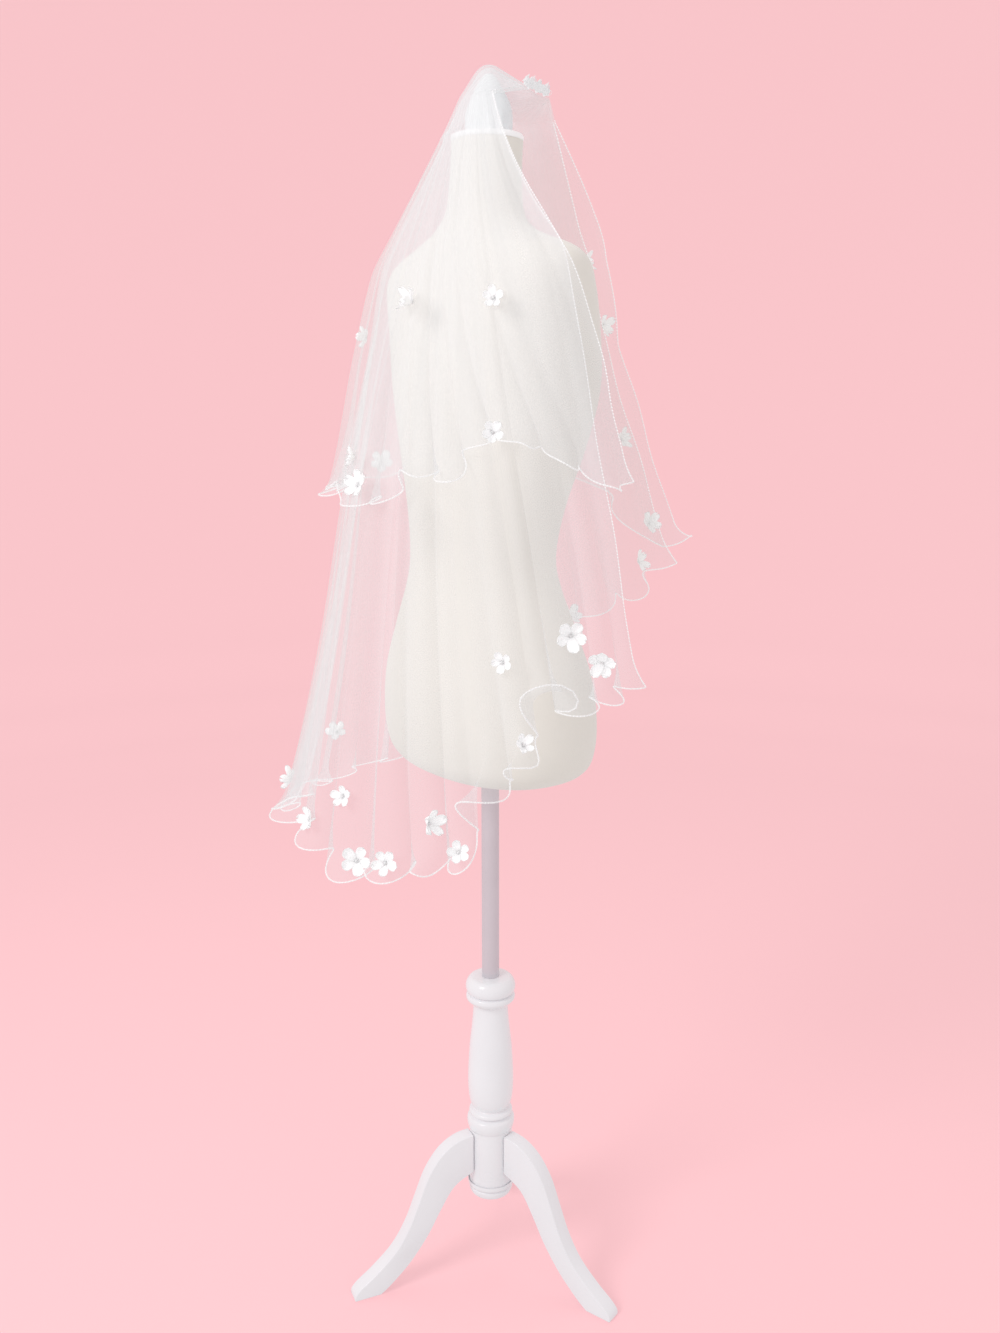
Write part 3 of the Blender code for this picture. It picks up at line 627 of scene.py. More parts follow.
def taut_height(start, rim, part, layer):
    """Height of cloth drawn tight from the heading over the knob to where it leaves it."""
    steps = np.linspace(0.0, 1.0, CROWN_CHORDS)
    knob = []
    for step in steps:
        point = start * (1.0 - step) + rim * step
        radius = np.hypot(point[..., 0] - AXIS_X, point[..., 1] - AXIS_Y) - layer
        crown = straight_column(CROWN_SHAPE, "radius", "height", radius) + layer
        knob.append(softer_max(point[..., 2], crown, CROWN_SOFTNESS))
    knob[0] = start[..., 2]
    knob[-1] = rim[..., 2]
    height = np.full_like(part, -1.0)
    for first in range(CROWN_CHORDS - 1):
        for last in range(first + 1, CROWN_CHORDS):
            share = (part - steps[first]) / (steps[last] - steps[first])
            chord = knob[first] + (knob[last] - knob[first]) * share
            inside = (share >= -0.001) & (share <= 1.001)
            height = np.where(inside, np.maximum(height, chord), height)
    return height


def gathers(share, seed):
    """Uneven fine gathers across a tier, between about -1 and 1."""
    wide = np.sin(2 * np.pi * (17 * share + 0.45 * np.sin(2 * np.pi * (2.1 * share + seed))))
    middle = np.sin(2 * np.pi * (31 * share + 0.50 * np.sin(2 * np.pi * (3.3 * share + 0.4))))
    fine = np.sin(2 * np.pi * (57 * share + 0.55 * np.sin(2 * np.pi * (1.7 * share + 0.8))))
    return 0.56 * wide + 0.28 * middle + 0.16 * fine


def cloth(name, fold, level, sizes):
    """Points of a tier's soft cloth before its hem curls; fold and level are alike in shape."""
    tier = TIERS[name]
    folds = tier["folds"]
    layer = tier["layer"]
    last = len(folds) - 1
    turn = smooth_column(folds, "turn", fold)
    hem_height = smooth_column(folds, "height", fold)
    ruffle = smooth_column(folds, "ruffle", fold)
    share = fold / last
    spread = (turn - folds[0]["turn"]) / (folds[-1]["turn"] - folds[0]["turn"])
    first_turn = CROWN_RIM[0]["turn"]
    crown_turn = first_turn + (CROWN_RIM[-1]["turn"] - first_turn) * spread
    rim_radius = straight_column(CROWN_RIM, "turn", "radius", crown_turn) + layer
    rim_height = straight_column(CROWN_RIM, "turn", "height", crown_turn) + layer
    fine = gathers(spread, 0.15)

    # Over the crown
    part = np.clip(level, 0.0, 1.0)[..., None]
    under = HEADING_LEVEL - HEADING_HEIGHT / 2 - HEADING_TUCK
    start = heading_point(share, under + layer)
    rim = round_stand(crown_turn, rim_radius, rim_height)
    over = start * (1.0 - part) + rim * part
    over[..., 2] = taut_height(start, rim, part[..., 0], layer)
    over[..., 2] += 0.0006 * fine * np.sin(np.pi * part[..., 0])

    # Down to the shoulder and the hem
    down = np.maximum(level, 1.0) - 2.0
    above = SHOULDER_HEIGHT - (rim_height - SHOULDER_HEIGHT) * down
    beneath = SHOULDER_HEIGHT + (hem_height - SHOULDER_HEIGHT) * down
    height = np.where(down < 0.0, above, beneath)
    early = SHOULDER_SWEEP * np.maximum(1.0 + down, 0.0) ** SWEEP_POWER
    late = SHOULDER_SWEEP + (1.0 - SHOULDER_SWEEP) * down
    sweep = np.where(down < 0.0, early, late)
    part = (rim_height - height) / (rim_height - hem_height)
    here = crown_turn + (turn - crown_turn) * sweep
    radius = tent_radius(here, height) + layer
    if "stand_off" in folds[0]:
        radius += (smooth_column(folds, "stand_off", fold) - layer) * part
        bulge = np.minimum((rim_height - height) / (rim_height - BELLY_BOTTOM), 1.0)
        radius += smooth_column(folds, "belly", fold) * np.sin(np.pi * bulge)
    seed = tier["seed"]
    wander = 0.09 * np.sin(1.9 * fold + seed) + 0.06 * np.sin(3.7 * fold + 2.1 + seed)
    uneven = 1.0 + 0.22 * np.sin(2.3 * fold + 1.1 + seed) + 0.12 * np.sin(5.1 * fold + seed)
    grown = CROWN_RUFFLE * np.minimum(part * CROWN_RUFFLE_RATE, 1.0)
    swing = ruffle * uneven * (grown + (1.0 - CROWN_RUFFLE) * part ** RUFFLE_POWER)
    phase = 2.0 * np.pi * (fold + wander)
    radius += swing * np.cos(phase)
    lean = RUFFLE_LEAN * (1.0 + 0.9 * part ** 6)
    here = here + np.degrees(lean * swing * np.sin(phase) / radius)
    height = height - 1.3 * RUFFLE_DROP * swing * np.cos(phase) * part ** 2
    for row in tier["rolls"]:
        bump = np.exp(-((fold - row["fold"]) / (1.6 * row["width"])) ** 2)
        height = height - row["drop"] * bump * part ** 6
    crease = np.zeros_like(radius)
    for row in tier["creases"]:
        side = (fold - row["fold"]) / row["width"]
        length = (level - row["level"]) / row["long"]
        crease += row["depth"] * np.exp(-side * side - length * length * length * length)
    radius += crease * ease(level, 1.6, 2.2)
    fade = 0.35 + 0.65 * ease(level, 1.0, 1.7)
    fade = fade * (1.0 - 0.75 * ease(level, 2.1, 2.9))
    radius += sizes.gather_depth * fade * fine * ease(level, 1.0, 1.15)
    edge = np.exp(-fold / 0.7) + np.exp(-(last - fold) / 0.7)
    sway = np.sin(7.5 * level + seed) + 0.5 * np.sin(17.0 * level + 1.0 + seed)
    radius += 0.0026 * edge * sway * ease(level, 1.4, 2.2)
    floor = torso_radius(here, height) + SOFT_CLEARANCE + layer
    floor = floor - 0.9 * np.maximum(height - NECK_TOP, 0.0)
    radius = softer_max(radius, floor, 0.002)
    below = round_stand(here, radius, height)
    return np.where(level[..., None] < 1.0, over, below)


def hem_roll(tier, fold, sizes):
    """How far the hem turns at each fold, and how long the strip is that turns."""
    seed = tier["seed"]
    wander = 0.10 * np.sin(1.3 * fold + 0.6 + seed) + 0.07 * np.sin(4.3 * fold + seed)
    uneven = 0.75 + 0.35 * np.sin(1.7 * fold + 2.0 + seed) + 0.2 * np.sin(3.9 * fold + seed)
    turned = sizes.curl_turn * uneven * np.cos(2 * np.pi * (fold + wander) - 0.5)
    long = tier["curl"] * (1.0 + 0.12 * np.sin(2.9 * fold + seed))
    for row in tier["rolls"]:
        bump = np.exp(-((fold - row["fold"]) / row["width"]) ** 2)
        turned = turned * (1.0 - 0.8 * bump) + math.radians(row["turn"]) * bump
        long = long + row["longer"] * bump
    return turned, long


def tier_points(name, sizes):
    """The whole grid of a tier, with its folds and levels; the last rows are the curled hem."""
    tier = TIERS[name]
    folds = tier["folds"]
    last = len(folds) - 1
    fold = np.linspace(0.0, last, last * tier["columns"] + 1)
    hem_height = smooth_column(folds, "height", fold)
    turned, long = hem_roll(tier, fold, sizes)

    # The hem's own frame at each fold: along it, outward, and square to it in the cloth
    turn = smooth_column(folds, "turn", fold)
    if "reach" in folds[0]:
        reach = smooth_column(folds, "reach", fold)
    else:
        lower = straight_column(LOWER_FOLDS, "turn", "reach", turn)
        reach = lower + smooth_column(folds, "stand_off", fold) - 0.04
    hem = round_stand(turn, reach, hem_height)
    along = np.gradient(hem, axis=0)
    along /= np.linalg.norm(along, axis=1)[:, None]
    outward = round_stand(turn, np.ones_like(turn), 0.0) - np.array([AXIS_X, AXIS_Y, 0.0])
    outward -= along * (outward * along).sum(axis=1)[:, None]
    outward /= np.linalg.norm(outward, axis=1)[:, None]
    square = np.cross(along, outward)
    square *= -np.sign(square[:, 2])[:, None]
    tall = np.minimum(long / np.maximum(-square[:, 2], 0.35), 0.11)
    kept = 1.0 - tall / (SHOULDER_HEIGHT - hem_height)

    rows = [np.full_like(fold, value) for value in np.linspace(0, 1, CROWN_ROWS, endpoint=False)]
    rows += [np.full_like(fold, value) for value in np.linspace(1, 2, NECK_ROWS, endpoint=False)]
    rows += [2.0 + kept * value for value in np.linspace(0, 1, DROP_ROWS, endpoint=False)]
    rows += [2.0 + kept + (1.0 - kept) * value for value in np.linspace(0, 1, HEM_ROWS)]
    level = np.stack(rows)
    points = cloth(name, np.tile(fold, (len(rows), 1)), level, sizes)

    # The last strip is bent in an arc, out or in
    turned = np.where(np.abs(turned) < 0.02, 0.02, turned)
    bend = long / turned
    for step, value in enumerate(np.linspace(0, 1, HEM_ROWS)):
        angle = turned * value
        shift = bend * np.sin(angle) - long * value
        lifted = bend * (1.0 - np.cos(angle))
        moved = square * shift[:, None] + outward * lifted[:, None]
        points[len(rows) - HEM_ROWS + step] += moved
    return fold, level, points


def tier_cover(points, level, sizes):
    """The share of light stopped at each point: gathered cloth lies closer than flat cloth."""
    across = np.linalg.norm(np.gradient(points, axis=1), axis=2)
    flat = np.median(across[-1])
    share = np.linspace(0.0, 1.0, points.shape[1])[None, :]
    streak = gathers(share, 0.4) * (1.0 - 0.7 * ease(level, 2.0, 2.9))
    ratio = np.clip(flat / np.maximum(across, flat * 0.05), 0.8, 12.0)
    ratio = ratio ** sizes.gather_cover * (1.0 + 0.11 * streak)
    return 1.0 - (1.0 - sizes.cover) ** ratio


# Meshes

def link_object(name, data):
    made = bpy.data.objects.new(name, data)
    bpy.context.scene.collection.objects.link(made)
    return made


def new_object(name, mesh, finish, slot, *replaced):
    """Adds a finished mesh to the scene as a piece of the object."""
    made = link_object(name, mesh)
    mesh.materials.clear()
    mesh.materials.append(finish)
    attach(made, "root")
    if replaced:
        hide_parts(*replaced)
    return made


def grid_faces(rows, columns, closed=False):
    """Faces of a grid of points, row by row; closed joins the last column to the first."""
    index = np.arange(rows * columns).reshape(rows, columns)
    if closed:
        index = np.concatenate((index, index[:, :1]), axis=1)
    quads = np.stack((index[:-1, :-1], index[1:, :-1], index[1:, 1:], index[:-1, 1:]), axis=-1)
    return quads.reshape(-1, 4).tolist()


def grid_mesh(name, points, closed=False, caps=False, flat=None):
    """A smooth mesh over a grid of points; flat gives each point's place in the flat cloth."""
    rows, columns = points.shape[:2]
    faces = grid_faces(rows, columns, closed)
    if caps:
        faces.append(list(range(columns)))
        faces.append(list(range((rows - 1) * columns, rows * columns))[::-1])
    mesh = bpy.data.meshes.new(name)
    mesh.from_pydata(points.reshape(-1, 3).tolist(), [], faces)
    if flat is not None:
        layer = mesh.uv_layers.new(name="flat")
        corner = np.zeros(len(mesh.loops), dtype=np.int32)
        mesh.loops.foreach_get("vertex_index", corner)
        layer.data.foreach_set("uv", flat.reshape(-1, 2)[corner].ravel())
    if closed or caps:
        turn_outward(mesh)
    mesh.shade_smooth()
    mesh.set_sharp_from_angle(angle=math.radians(50))
    return mesh


def turn_outward(mesh):
    shape = bmesh.new()
    shape.from_mesh(mesh)
    bmesh.ops.remove_doubles(shape, verts=shape.verts, dist=0.00002)
    bmesh.ops.recalc_face_normals(shape, faces=shape.faces)
    shape.to_mesh(mesh)
    shape.free()


def applied(made):
    """The object's mesh with its modifiers applied, and no modifier left on it."""
    graph = bpy.context.evaluated_depsgraph_get()
    mesh = bpy.data.meshes.new_from_object(made.evaluated_get(graph), depsgraph=graph)
    made.modifiers.clear()
    old = made.data
    made.data = mesh
    if isinstance(old, bpy.types.Mesh):
        bpy.data.meshes.remove(old)
    return mesh


def ring_points(radius, angle, height, back=0.0):
    """Points round the stand's axis, or round a middle this far behind it."""
    return np.stack(np.broadcast_arrays(
        AXIS_X + radius * np.cos(angle), AXIS_Y + back + radius * np.sin(angle), height), axis=-1)


def whole_turn(sides):
    return np.linspace(0, 2 * np.pi, sides, endpoint=False)[None, :]


def lathe(name, profile, segments, steps, wave=None):
    """A profile turned about the stand's axis; wave(angle, height) adds to the radius."""
    places = np.linspace(0, len(profile) - 1, (len(profile) - 1) * steps + 1)
    radius = np.maximum(smooth_column(profile, "radius", places), 0.0)
    height = smooth_column(profile, "height", places)
    angle = whole_turn(segments)
    wide = radius[:, None] + np.zeros_like(angle)
    if wave is not None:
        wide = np.maximum(wide + wave(angle, height[:, None], wide), 0.0)
    return grid_mesh(name, ring_points(wide, angle, height[:, None]), closed=True)


def tube_mesh(name, path, radius, sides=8):
    """A round tube along a line of points, closed at both ends."""
    ahead = np.gradient(path, axis=0)
    ahead /= np.linalg.norm(ahead, axis=1)[:, None]
    side = np.zeros_like(path)
    side[0] = np.cross(ahead[0], (0.3, 0.5, 0.8))
    for step in range(1, len(path)):
        side[step] = side[step - 1] - ahead[step] * side[step - 1].dot(ahead[step])
        side[step] /= np.linalg.norm(side[step])
    side[0] /= np.linalg.norm(side[0])
    other = np.cross(ahead, side)
    angle = np.linspace(0, 2 * np.pi, sides, endpoint=False)
    ring = side[:, None] * np.cos(angle)[None, :, None] + other[:, None] * np.sin(angle)[None, :, None]
    points = path[:, None] + ring * np.asarray(radius).reshape(-1, 1, 1)
    return grid_mesh(name, points, closed=True, caps=True)


# Materials

class Value:
    """A number socket of a material that takes Python's own arithmetic."""

    def __init__(self, finish, socket):
        self.finish = finish
        self.socket = socket

    def maths(self, operation, first, second=0.0):
        return self.finish.value("ShaderNodeMath", {"operation": operation}, {0: first, 1: second})

    def __add__(self, other):
        return self.maths("ADD", self, other)

    def __radd__(self, other):
        return self.maths("ADD", other, self)

    def __sub__(self, other):
        return self.maths("SUBTRACT", self, other)

    def __rsub__(self, other):
        return self.maths("SUBTRACT", other, self)

    def __mul__(self, other):
        return self.maths("MULTIPLY", self, other)

    def __rmul__(self, other):
        return self.maths("MULTIPLY", other, self)

    def at_least(self, other):
        return self.maths("MAXIMUM", self, other)

    def at_most(self, other):
        return self.maths("MINIMUM", self, other)


class Finish:
    """A material in the making: one principled surface and the nodes that feed it."""

    def __init__(self, name, colour, roughness):
        self.material = bpy.data.materials.new(name)
        self.material.use_nodes = True
        self.tree = self.material.node_tree
        self.surface = self.tree.nodes["Principled BSDF"]
        self.set(**{"Base Color": (*colour, 1.0), "Roughness": roughness})

    def set(self, **inputs):
        for name, value in inputs.items():
            self.join(self.surface.inputs[name], value)

    def join(self, socket, value):
        if isinstance(value, Value):
            self.tree.links.new(value.socket, socket)
        else:
            socket.default_value = value

    def node(self, kind, settings=None, inputs=None):
        """A node of this type; its settings come first, then its sockets."""
        made = self.tree.nodes.new(kind)
        for name, value in (settings or {}).items():
            setattr(made, name, value)
        for key, value in (inputs or {}).items():
            self.join(self.find(made.inputs, key), value)
        return made

    def find(self, sockets, key):
        if isinstance(key, int):
            return sockets[key]
        for socket in sockets:
            if socket.identifier == key:
                return socket
        return sockets[key]

    def value(self, kind, settings=None, inputs=None, output=0):
        made = self.node(kind, settings, inputs)
        return Value(self, self.find(made.outputs, output))

    def spread(self, value, old_low, old_high, low, high):
        """The value, with one range of numbers stretched over another."""
        return self.value("ShaderNodeMapRange", {}, {
            "Value": value, "From Min": old_low, "From Max": old_high,
            "To Min": low, "To Max": high})

    def glow(self, strength, colour=WHITE):
        """A glow of its own. On cloth it is painted light that stands in for the light thin cloth
        passes on; on the floor it keeps the backdrop evenly bright.
        """
        self.set(**{"Emission Color": (*colour, 1.0), "Emission Strength": strength})

    def place(self, stretch=(1.0, 1.0, 1.0), flat=False):
        """Where a point lies on the object, or in the flat cloth, stretched by these numbers."""
        if flat:
            source = self.value("ShaderNodeUVMap", {"uv_map": "flat"})
        else:
            source = self.value("ShaderNodeTexCoord", output="Object")
        return self.value("ShaderNodeMapping", {}, {"Vector": source, "Scale": stretch})

    def noise(self, place, scale, detail=3.0, roughness=0.5):
        return self.value("ShaderNodeTexNoise", {}, {
            "Vector": place, "Scale": scale, "Detail": detail, "Roughness": roughness})

    def cells(self, place, scale, feature="F1"):
        return self.value("ShaderNodeTexVoronoi", {"feature": feature}, {
            "Vector": place, "Scale": scale}, output="Distance")

    def waves(self, place, scale, direction="X", distortion=0.0):
        settings = {"wave_type": "BANDS", "bands_direction": direction}
        return self.value("ShaderNodeTexWave", settings, {
            "Vector": place, "Scale": scale, "Distortion": distortion}, output="Fac")

    def mix(self, share, first, second):
        settings = {"data_type": "RGBA", "blend_type": "MIX"}
        return self.value("ShaderNodeMix", settings, {
            "Factor_Float": share, "A_Color": first, "B_Color": second}, output="Result_Color")

    def bump(self, height, depth, strength=1.0):
        bumped = self.value("ShaderNodeBump", {}, {
            "Height": height, "Distance": depth, "Strength": strength}, output="Normal")
        self.set(Normal=bumped)


def tinted(colour, factor):
    return tuple(min(1.0, part * factor) for part in colour) + (1.0,)


def tulle_finish(colours):
    """Sheer net: six-sided holes, denser where it is gathered."""
    finish = Finish("tulle net", colours.tulle, 0.75)
    place = finish.place(flat=True)
    cover = finish.value("ShaderNodeAttribute", {"attribute_name": "cover"}, output="Fac")
    net = finish.cells(place, 620.0, "DISTANCE_TO_EDGE")
    thread = finish.spread(net, 0.0, 0.32, 1.22, 0.84)
    drift = finish.noise(finish.place((9.0, 1.2, 1.0), flat=True), 4.0)
    shade = finish.spread(drift, 0.3, 0.7, 0.94, 1.06)
    finish.set(Alpha=(cover * thread * shade).at_most(0.97))
    finish.set(**{"Sheen Weight": 0.25, "Sheen Roughness": 0.4, "Specular IOR Level": 0.25})
    # Painted light: the net glows a little, standing in for the light thin net passes on
    finish.glow(0.082)
    finish.bump(net, 0.0002, 0.25)
    return finish.material


def gathered_finish(colours):
    """Tulle gathered many layers deep: nearly closed, with pleats showing as streaks."""
    finish = Finish("gathered tulle", colours.tulle, 0.7)
    streaks = finish.noise(finish.place((1.0, 1.0, 0.3)), 420.0, 3.0)
    broad = finish.noise(finish.place(), 120.0, 2.0)
    finish.set(Alpha=finish.spread(streaks * 0.6 + broad * 0.4, 0.35, 0.65, 0.60, 0.97))
    finish.set(**{"Sheen Weight": 0.25, "Sheen Roughness": 0.4, "Specular IOR Level": 0.25})
    # Painted light: the gathered tulle glows a little to stay bright
    finish.glow(0.16)
    finish.bump(streaks, 0.0005, 0.4)
    return finish.material


def cord_finish(colours, cover=1.0):
    """The rolled edge: satin thread wrapped round a fine clear line."""
    finish = Finish("corded hem", colours.satin, 0.38)
    place = finish.place()
    wraps = finish.noise(place, 900.0, 2.0)
    finish.set(**{"Sheen Weight": 0.3, "Specular IOR Level": 0.6, "Alpha": cover})
    # Painted light: the cord glows a little to stay bright
    finish.glow(0.12)
    finish.bump(wraps, 0.0002, 0.6)
    return finish.material


def satin_finish(colours):
    """Petals: close satin with a soft gloss, and painted shade that darkens them towards the middle.
    """
    finish = Finish("petal satin", colours.satin, 0.42)
    place = finish.place()
    # Painted shade: the petals darken towards the flower's middle, mixed with random mottling of tone
    heart_shade = finish.value("ShaderNodeAttribute", {"attribute_name": "heart_shade"}, output="Fac")
    mottle = finish.noise(place, 260.0, 4.0)
    share = (heart_shade * 0.75 + (mottle - 0.5) * 0.25).at_least(0.0)
    colour = finish.mix(share, tinted(colours.satin, 1.03), tinted(colours.satin, 0.84))
    weave = finish.waves(place, 1500.0, "DIAGONAL", 1.5)
    finish.set(**{"Base Color": colour, "Roughness": 0.36 + mottle * 0.14})
    finish.set(**{"Sheen Weight": 0.6, "Specular IOR Level": 0.55})
    # Painted light: the petals glow a little, standing in for light that passes through thin satin
    finish.glow(0.18)
    finish.bump(weave * 0.4 + mottle, 0.0003, 0.5)
    return finish.material


def pearl_finish(colours):
    finish = Finish("pearl bead", tinted(colours.satin, 1.0)[:3], 0.18)
    place = finish.place()
    bloom = finish.noise(place, 700.0, 2.0)
    colour = finish.mix(bloom, (0.90, 0.88, 0.86, 1.0), (0.80, 0.83, 0.86, 1.0))
    finish.set(**{"Base Color": colour, "Coat Weight": 0.8, "Coat Roughness": 0.06})
    return finish.material


def thread_finish(colours):
    finish = Finish("sewing thread", tinted(colours.satin, 1.02)[:3], 0.45)
    place = finish.place()
    finish.set(**{"Sheen Weight": 0.3})
    # Painted light: the thread glows a little to stay bright
    finish.glow(0.10)
    finish.bump(finish.waves(place, 2600.0, "DIAGONAL"), 0.0001, 0.6)
    return finish.material


def jersey_finish(colours):
    """Stretch jersey: fine knit columns, a soft pile and slight unevenness of tone."""
    finish = Finish("form jersey", colours.jersey, 0.85)
    place = finish.place()
    broad = finish.noise(place, 7.0, 3.0)
    fine = finish.noise(place, 60.0, 4.0)
    share = (broad * 0.7 + fine * 0.3 - 0.2).at_least(0.0)
    colour = finish.mix(share, tinted(colours.jersey, 1.05), tinted(colours.jersey, 0.95))
    ribs = finish.cells(finish.place((1.0, 1.0, 0.55)), 900.0)
    finish.set(**{"Base Color": colour, "Roughness": 0.78 + fine * 0.14})
    finish.set(**{"Sheen Weight": 0.35, "Sheen Roughness": 0.5, "Specular IOR Level": 0.25})
    finish.bump(ribs + fine * 0.5, 0.0004, 0.35)
    return finish.material


def padding_finish(colours):
    """Glazed cotton wrapped over the knob: plain weave with drag lines."""
    finish = Finish("knob cotton", colours.padding, 0.5)
    place = finish.place()
    drags = finish.noise(finish.place((1.0, 1.0, 0.25)), 90.0, 3.0)
    weft = finish.waves(place, 1100.0, "Z", 0.6)
    warp = finish.waves(place, 1100.0, "X", 0.6)
    colour = finish.mix(drags, tinted(colours.padding, 1.03), tinted(colours.padding, 0.93))
    finish.set(**{"Base Color": colour, "Roughness": 0.40 + drags * 0.2})
    finish.set(**{"Sheen Weight": 0.2, "Specular IOR Level": 0.45})
    finish.bump(drags + (weft + warp) * 0.08, 0.0012, 0.5)
    return finish.material


def paint_finish(colours):
    """Gloss paint over wood: brush drags, faint pores and faint patches of uneven tone."""
    finish = Finish("gloss paint", colours.paint, 0.24)
    brush = finish.noise(finish.place((1.0, 1.0, 0.06)), 240.0, 3.0)
    pores = finish.noise(finish.place((1.0, 1.0, 0.2)), 900.0, 2.0)
    patch = finish.noise(finish.place(), 14.0, 3.0)
    colour = finish.mix(patch, tinted(colours.paint, 1.03), tinted(colours.paint, 0.95))
    finish.set(**{"Base Color": colour, "Roughness": 0.17 + patch * 0.16})
    finish.set(**{"Coat Weight": 0.35, "Coat Roughness": 0.12, "Specular IOR Level": 0.5})
    finish.bump(brush * 0.7 + pores * 0.3, 0.0004, 0.30)
    return finish.material


def pole_finish(colours):
    """Satin powder paint on steel, with fine lines along the pole."""
    finish = Finish("pole paint", colours.pole, 0.38)
    lines = finish.noise(finish.place((1.0, 1.0, 0.02)), 700.0, 2.0)
    patch = finish.noise(finish.place(), 25.0, 3.0)
    colour = finish.mix(patch, tinted(colours.pole, 1.05), tinted(colours.pole, 0.94))
    finish.set(**{"Base Color": colour, "Roughness": 0.30 + lines * 0.16, "Metallic": 0.25})
    finish.bump(lines, 0.0002, 0.3)
    return finish.material


def floor_finish(colours):
    finish = Finish("plain floor", colours.floor, 0.9)
    finish.set(**{"Specular IOR Level": 0.1})
    finish.glow(0.15, colours.floor)
    return finish.material


# Geometry node trees

class Maker:
    """A geometry node tree in the making, with named inputs."""

    def __init__(self, name):
        self.tree = bpy.data.node_groups.new(name, "GeometryNodeTree")
        self.tree.interface.new_socket("Geometry", in_out="INPUT", socket_type="NodeSocketGeometry")
        self.tree.interface.new_socket("Geometry", in_out="OUTPUT", socket_type="NodeSocketGeometry")
        self.ids = {}
        self.start = self.tree.nodes.new("NodeGroupInput")
        self.end = self.tree.nodes.new("NodeGroupOutput")

    def input(self, name, kind):
        made = self.tree.interface.new_socket(name, in_out="INPUT", socket_type=kind)
        self.ids[name] = made.identifier
        return self.start.outputs[name]

    def node(self, kind, settings=None, inputs=None):
        made = self.tree.nodes.new(kind)
        for name, value in (settings or {}).items():
            setattr(made, name, value)
        for key, value in (inputs or {}).items():
            if isinstance(value, bpy.types.NodeSocket):
                self.tree.links.new(value, made.inputs[key])
            else:
                made.inputs[key].default_value = value
        return made

    def finish(self, geometry, material):
        """Ends the tree in real geometry with its material."""
        real = self.node("GeometryNodeRealizeInstances", {}, {0: geometry})
        set_material = self.node("GeometryNodeSetMaterial", {}, {
            "Geometry": real.outputs[0], "Material": material})
        self.tree.links.new(set_material.outputs[0], self.end.inputs[0])

    def run(self, made, values):
        """Applies the tree to an object with these input values, and leaves a plain mesh."""
        modifier = made.modifiers.new(self.tree.name, "NODES")
        modifier.node_group = self.tree
        for name, value in values.items():
            modifier[self.ids[name]] = value
        return applied(made)


def bead_tree():
    """Pearls, one on each point of a mesh, sized by the attribute bead."""
    maker = Maker("pearls on points")
    radius = maker.input("Bead radius", "NodeSocketFloat")
    material = maker.input("Finish", "NodeSocketMaterial")
    size = maker.node("GeometryNodeInputNamedAttribute", {"data_type": "FLOAT"}, {"Name": "bead"})
    pearl = maker.node("GeometryNodeMeshIcoSphere", {}, {"Radius": radius, "Subdivisions": 2})
    smooth = maker.node("GeometryNodeSetShadeSmooth", {}, {"Geometry": pearl.outputs[0]})
    placed = maker.node("GeometryNodeInstanceOnPoints", {}, {
        "Points": maker.start.outputs[0], "Instance": smooth.outputs[0],
        "Scale": size.outputs["Attribute"]})
    maker.finish(placed.outputs[0], material)
    return maker


def stitch_tree():
    """Slanting stitches that wrap a line, a set distance apart."""
    maker = Maker("overcast stitches")
    pitch = maker.input("Stitch pitch", "NodeSocketFloat")
    around = maker.input("Stitch radius", "NodeSocketFloat")
    width = maker.input("Thread width", "NodeSocketFloat")
    material = maker.input("Finish", "NodeSocketMaterial")
    line = maker.node("GeometryNodeMeshToCurve", {}, {0: maker.start.outputs[0]})
    spaced = maker.node("GeometryNodeResampleCurve", {"mode": "LENGTH"}, {
        "Curve": line.outputs[0], "Length": pitch})
    tangent = maker.node("GeometryNodeInputTangent")
    turned = maker.node("FunctionNodeAlignRotationToVector", {"axis": "Z"}, {
        "Vector": tangent.outputs[0]})
    slant = maker.node("FunctionNodeRotateRotation", {"rotation_space": "LOCAL"}, {
        "Rotation": turned.outputs[0], "Rotate By": (0.5, 0.0, 0.0)})
    ring = maker.node("GeometryNodeMeshCylinder", {"fill_type": "NONE"}, {
        "Vertices": 7, "Radius": around, "Depth": width})
    placed = maker.node("GeometryNodeInstanceOnPoints", {}, {
        "Points": spaced.outputs[0], "Instance": ring.outputs[0],
        "Rotation": slant.outputs[0]})
    maker.finish(placed.outputs[0], material)
    return maker


# The pieces

SIDES = ("lower", "upper")
GRIDS = {}


def tier_grid(name, sizes):
    if name not in GRIDS:
        GRIDS[name] = tier_points(name, sizes)
    return GRIDS[name]


def flat_places(points):
    """Each point's place in the flat cloth: across by the hem, down by the cloth's length."""
    across = np.linalg.norm(np.diff(points[-1], axis=0), axis=1)
    across = np.concatenate(([0.0], np.cumsum(across)))
    steps = np.linalg.norm(np.diff(points, axis=0), axis=2).mean(axis=1)
    down = np.concatenate(([0.0], np.cumsum(steps)))
    return np.stack(np.broadcast_arrays(across[None, :], -down[:, None]), axis=-1)


def build_tier(name, slot_name, sizes, finish):
    """One tier of tulle as a single soft sheet, replacing its solid."""
    level, points = tier_grid(name, sizes)[1:]
    flat = flat_places(points)
    mesh = grid_mesh("soft_" + name, points, flat=flat)
    cover = mesh.attributes.new("cover", "FLOAT", "POINT")
    cover.data.foreach_set("value", tier_cover(points, level, sizes).ravel())
    made = new_object("soft_" + name, mesh, finish, slot_name, name)
    # Net scatters light onward, so it throws no shade on the cloth beneath it
    made.visible_diffuse = False
    made.visible_shadow = False
    return made


def hem_path(name, sizes):
    """The tier's free edge: down one front edge, along the hem and up the other."""
    points = tier_grid(name, sizes)[2]
    first = int(CROWN_ROWS * BARE_CROWN)
    return np.concatenate((
        points[first:-1, 0], points[-1], points[first:-1, -1][::-1]))


